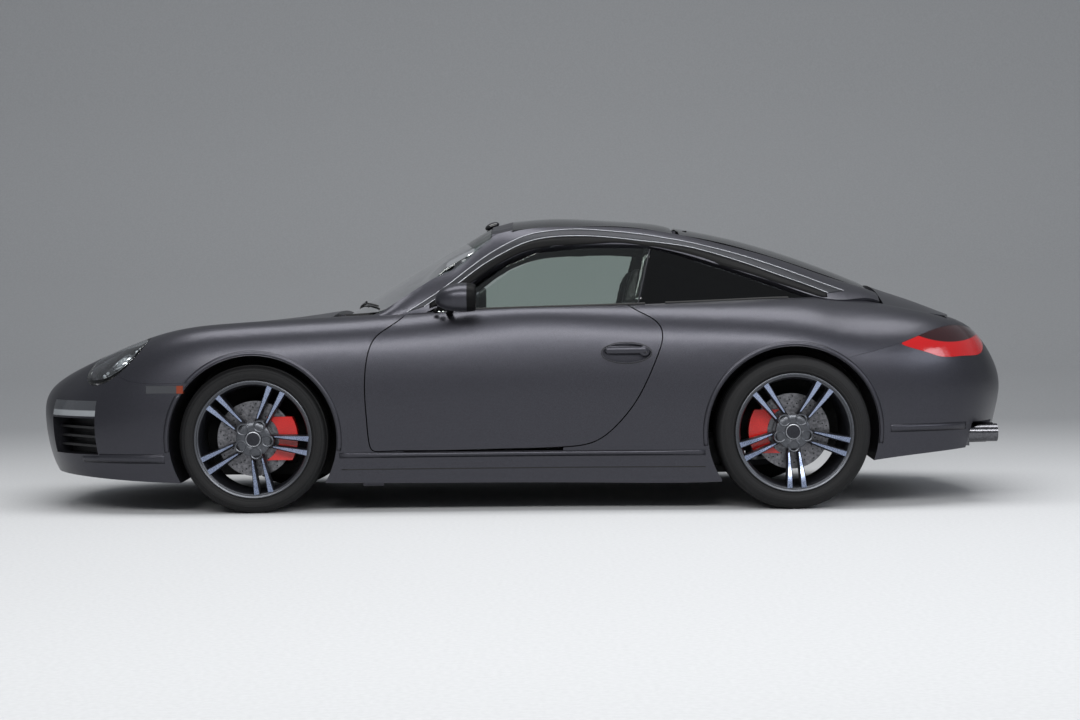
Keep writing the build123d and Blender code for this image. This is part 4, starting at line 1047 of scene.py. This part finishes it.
# drilled pattern of the brake discs: four rings of holes, run by the ring tree
discSettings = {"radius": 0.0036, "deep": 0.0004, "proud": 0.0001, "rounds": 9, "apart": 0.36,
                "rings": ((0.106, 0.0), (0.122, 0.09), (0.138, 0.18), (0.153, 0.27))}
for sideName, side in sides:
    for axle, row in wheelSettings.items():
        bm = bmesh.new()
        d = discSettings
        for reach, offset in d["rings"]:
            for turn in (offset, offset + d["apart"]):
                spot = Matrix.Rotation(turn, 4, "Y") @ Matrix.Translation(
                    (0, side * (row["discFace"] + d["proud"]), reach))
                spot = spot @ Matrix.Rotation(math.radians(90), 4, "X")
                bmesh.ops.create_cone(bm, cap_ends=True, segments=12, radius1=d["radius"],
                                      radius2=d["radius"], depth=d["deep"], matrix=spot)
        holes = meshPiece(f"discHoles_{axle}_{sideName}", bm, [castMetal], smooth=False)
        hub = (row["x"], 0.0, row["tyreRadius"])
        runTree(holes, ringGroup, {"Count": d["rounds"], "Start": 0.1, "Hub": hub, "Finish": castMetal})
        settle(holes, f"wheel_{axle}_{sideName}")
print("disc holes made")

# inner mirror on its stem below the header
innerSettings = {"x": -0.128, "thick": 0.030, "z": 1.172, "halfWide": 0.115, "halfHigh": 0.031, "round": 0.6}
n = innerSettings
bm = bmesh.new()
rings = []
for t, grow in ((0.0, 0.75), (0.08, 0.95), (0.5, 1.0), (0.92, 0.97), (1.0, 0.9)):
    outline = superRing(n["halfWide"] * grow, n["halfHigh"] * grow, n["round"], 40)
    rings.append([bm.verts.new((n["x"] + n["thick"] * t, across, n["z"] + deep)) for across, deep in outline])
bridge(bm, rings)
bm.faces.new(rings[0])
bm.faces.new(rings[-1]).material_index = 1
outward(bm)
settle(meshPiece("innerMirror", bm, [grainPlastic, mirrorGlass]), "chassis")
stem = [(-0.118, 0, 1.180), (-0.114, 0, 1.205), (-0.106, 0, 1.228), (-0.100, 0, 1.246)]
tubeAlong("innerMirrorStem", stem, 0.007, grainPlastic, "chassis")

# instrument hood on the dash
hoodSettings = {
    "x": -0.575, "deep": 0.135, "y": -0.370, "z": 0.826, "halfWide": 0.185, "high": 0.062, "wall": 0.006}
h = hoodSettings
bm = bmesh.new()
rings = []
for t, grow in ((0.0, 0.92), (0.35, 1.0), (0.8, 1.0), (1.0, 0.97)):
    x = h["x"] + h["deep"] * t
    ring = []
    for k in range(25):
        a = math.pi * k / 24
        rise = h["high"] * grow * math.sin(a) * (0.75 + 0.25 * t)
        ring.append(bm.verts.new((x, h["y"] - h["halfWide"] * grow * math.cos(a), h["z"] + rise)))
    rings.append(ring)
bridge(bm, rings, False)
bm.faces.new(rings[0])
outward(bm)
settle(withWall(meshPiece("instrumentHood", bm, [dashSkin]), h["wall"], -1.0), "chassis")
print("cabin pieces made")

# pale studio floor and backdrop: matt and nearly even, so the car's edges stay clear
floorMat = speckle("paleStudioFloor", {"Roughness": 0.85}, "#bcbdbe", "#c2c3c4", 60.0)
# seen from behind, the backdrop lets the view through, so the car's far side can be looked at
floorTree = floorMat.node_tree
behind = addNode(floorTree, "ShaderNodeNewGeometry")
clear = addNode(floorTree, "ShaderNodeBsdfTransparent")
oneSided = addNode(floorTree, "ShaderNodeMixShader", {}, {
    0: behind.outputs["Backfacing"], 1: floorTree.nodes["Principled BSDF"].outputs[0], 2: clear.outputs[0]})
floorTree.links.new(oneSided.outputs[0], floorTree.nodes["Material Output"].inputs["Surface"])
bm = bmesh.new()
rows = [(-40.0, 0.0), (6.0, 0.0), (8.5, 0.3), (10.5, 1.2), (11.8, 3.0), (12.2, 9.0)]
bridge(bm, [[bm.verts.new((x, y, z - 0.0005)) for x in (-30.0, 30.0)] for y, z in rows], False)
floor = meshPiece("studioFloor", bm, [floorMat])

world = bpy.data.worlds.new("studio")
scene.world = world
world.use_nodes = True
world.node_tree.nodes["Background"].inputs["Color"].default_value = hexLinear("#c8ccd2")
world.node_tree.nodes["Background"].inputs["Strength"].default_value = 0.48


def areaLight(name, place, target, size, power, colour):
    data = bpy.data.lights.new(name, "AREA")
    data.shape = "RECTANGLE"
    data.size, data.size_y = size
    data.energy = power
    data.color = hexLinear(colour)[:3]
    lamp = addObject(name, data)
    lamp.location = place
    lamp.rotation_euler = (Vector(target) - Vector(place)).to_track_quat("-Z", "Y").to_euler()


areaLight("topSoftbox", (0.2, -0.6, 5.4), (0.2, 0.0, 0.5), (8.0, 2.4), 330, "#ffffff")
areaLight("shoulderStrip", (0.0, -7.0, 4.1), (0.0, -0.8, 0.6), (9.0, 1.4), 420, "#ffffff")
areaLight("tailFill", (6.0, -4.0, 3.0), (1.0, -0.5, 0.6), (3.0, 2.0), 80, "#f2f6ff")

cameraSettings = {
    "x": 0.078, "away": 9.9, "height": 0.88, "focalPixels": 2082.0, "horizonRow": 308.5,
    "rollDegrees": 0.62, "sensor": 36.0, "pixelsWide": 1080, "pixelsHigh": 720}
camera = addObject("photoCamera", bpy.data.cameras.new("photoCamera"))
c = cameraSettings
camera.data.sensor_width = c["sensor"]
camera.data.lens = c["sensor"] * c["focalPixels"] / c["pixelsWide"]
camera.location = (c["x"], -c["away"], c["height"])
pitch = math.atan2(c["pixelsHigh"] / 2 - c["horizonRow"], c["focalPixels"])
look = Matrix.Rotation(math.radians(90) - pitch, 4, "X") @ Matrix.Rotation(
    math.radians(-c["rollDegrees"]), 4, "Z")
camera.rotation_euler = look.to_euler()
scene.camera = camera
scene.view_settings.view_transform = "Standard"
print("stage set")
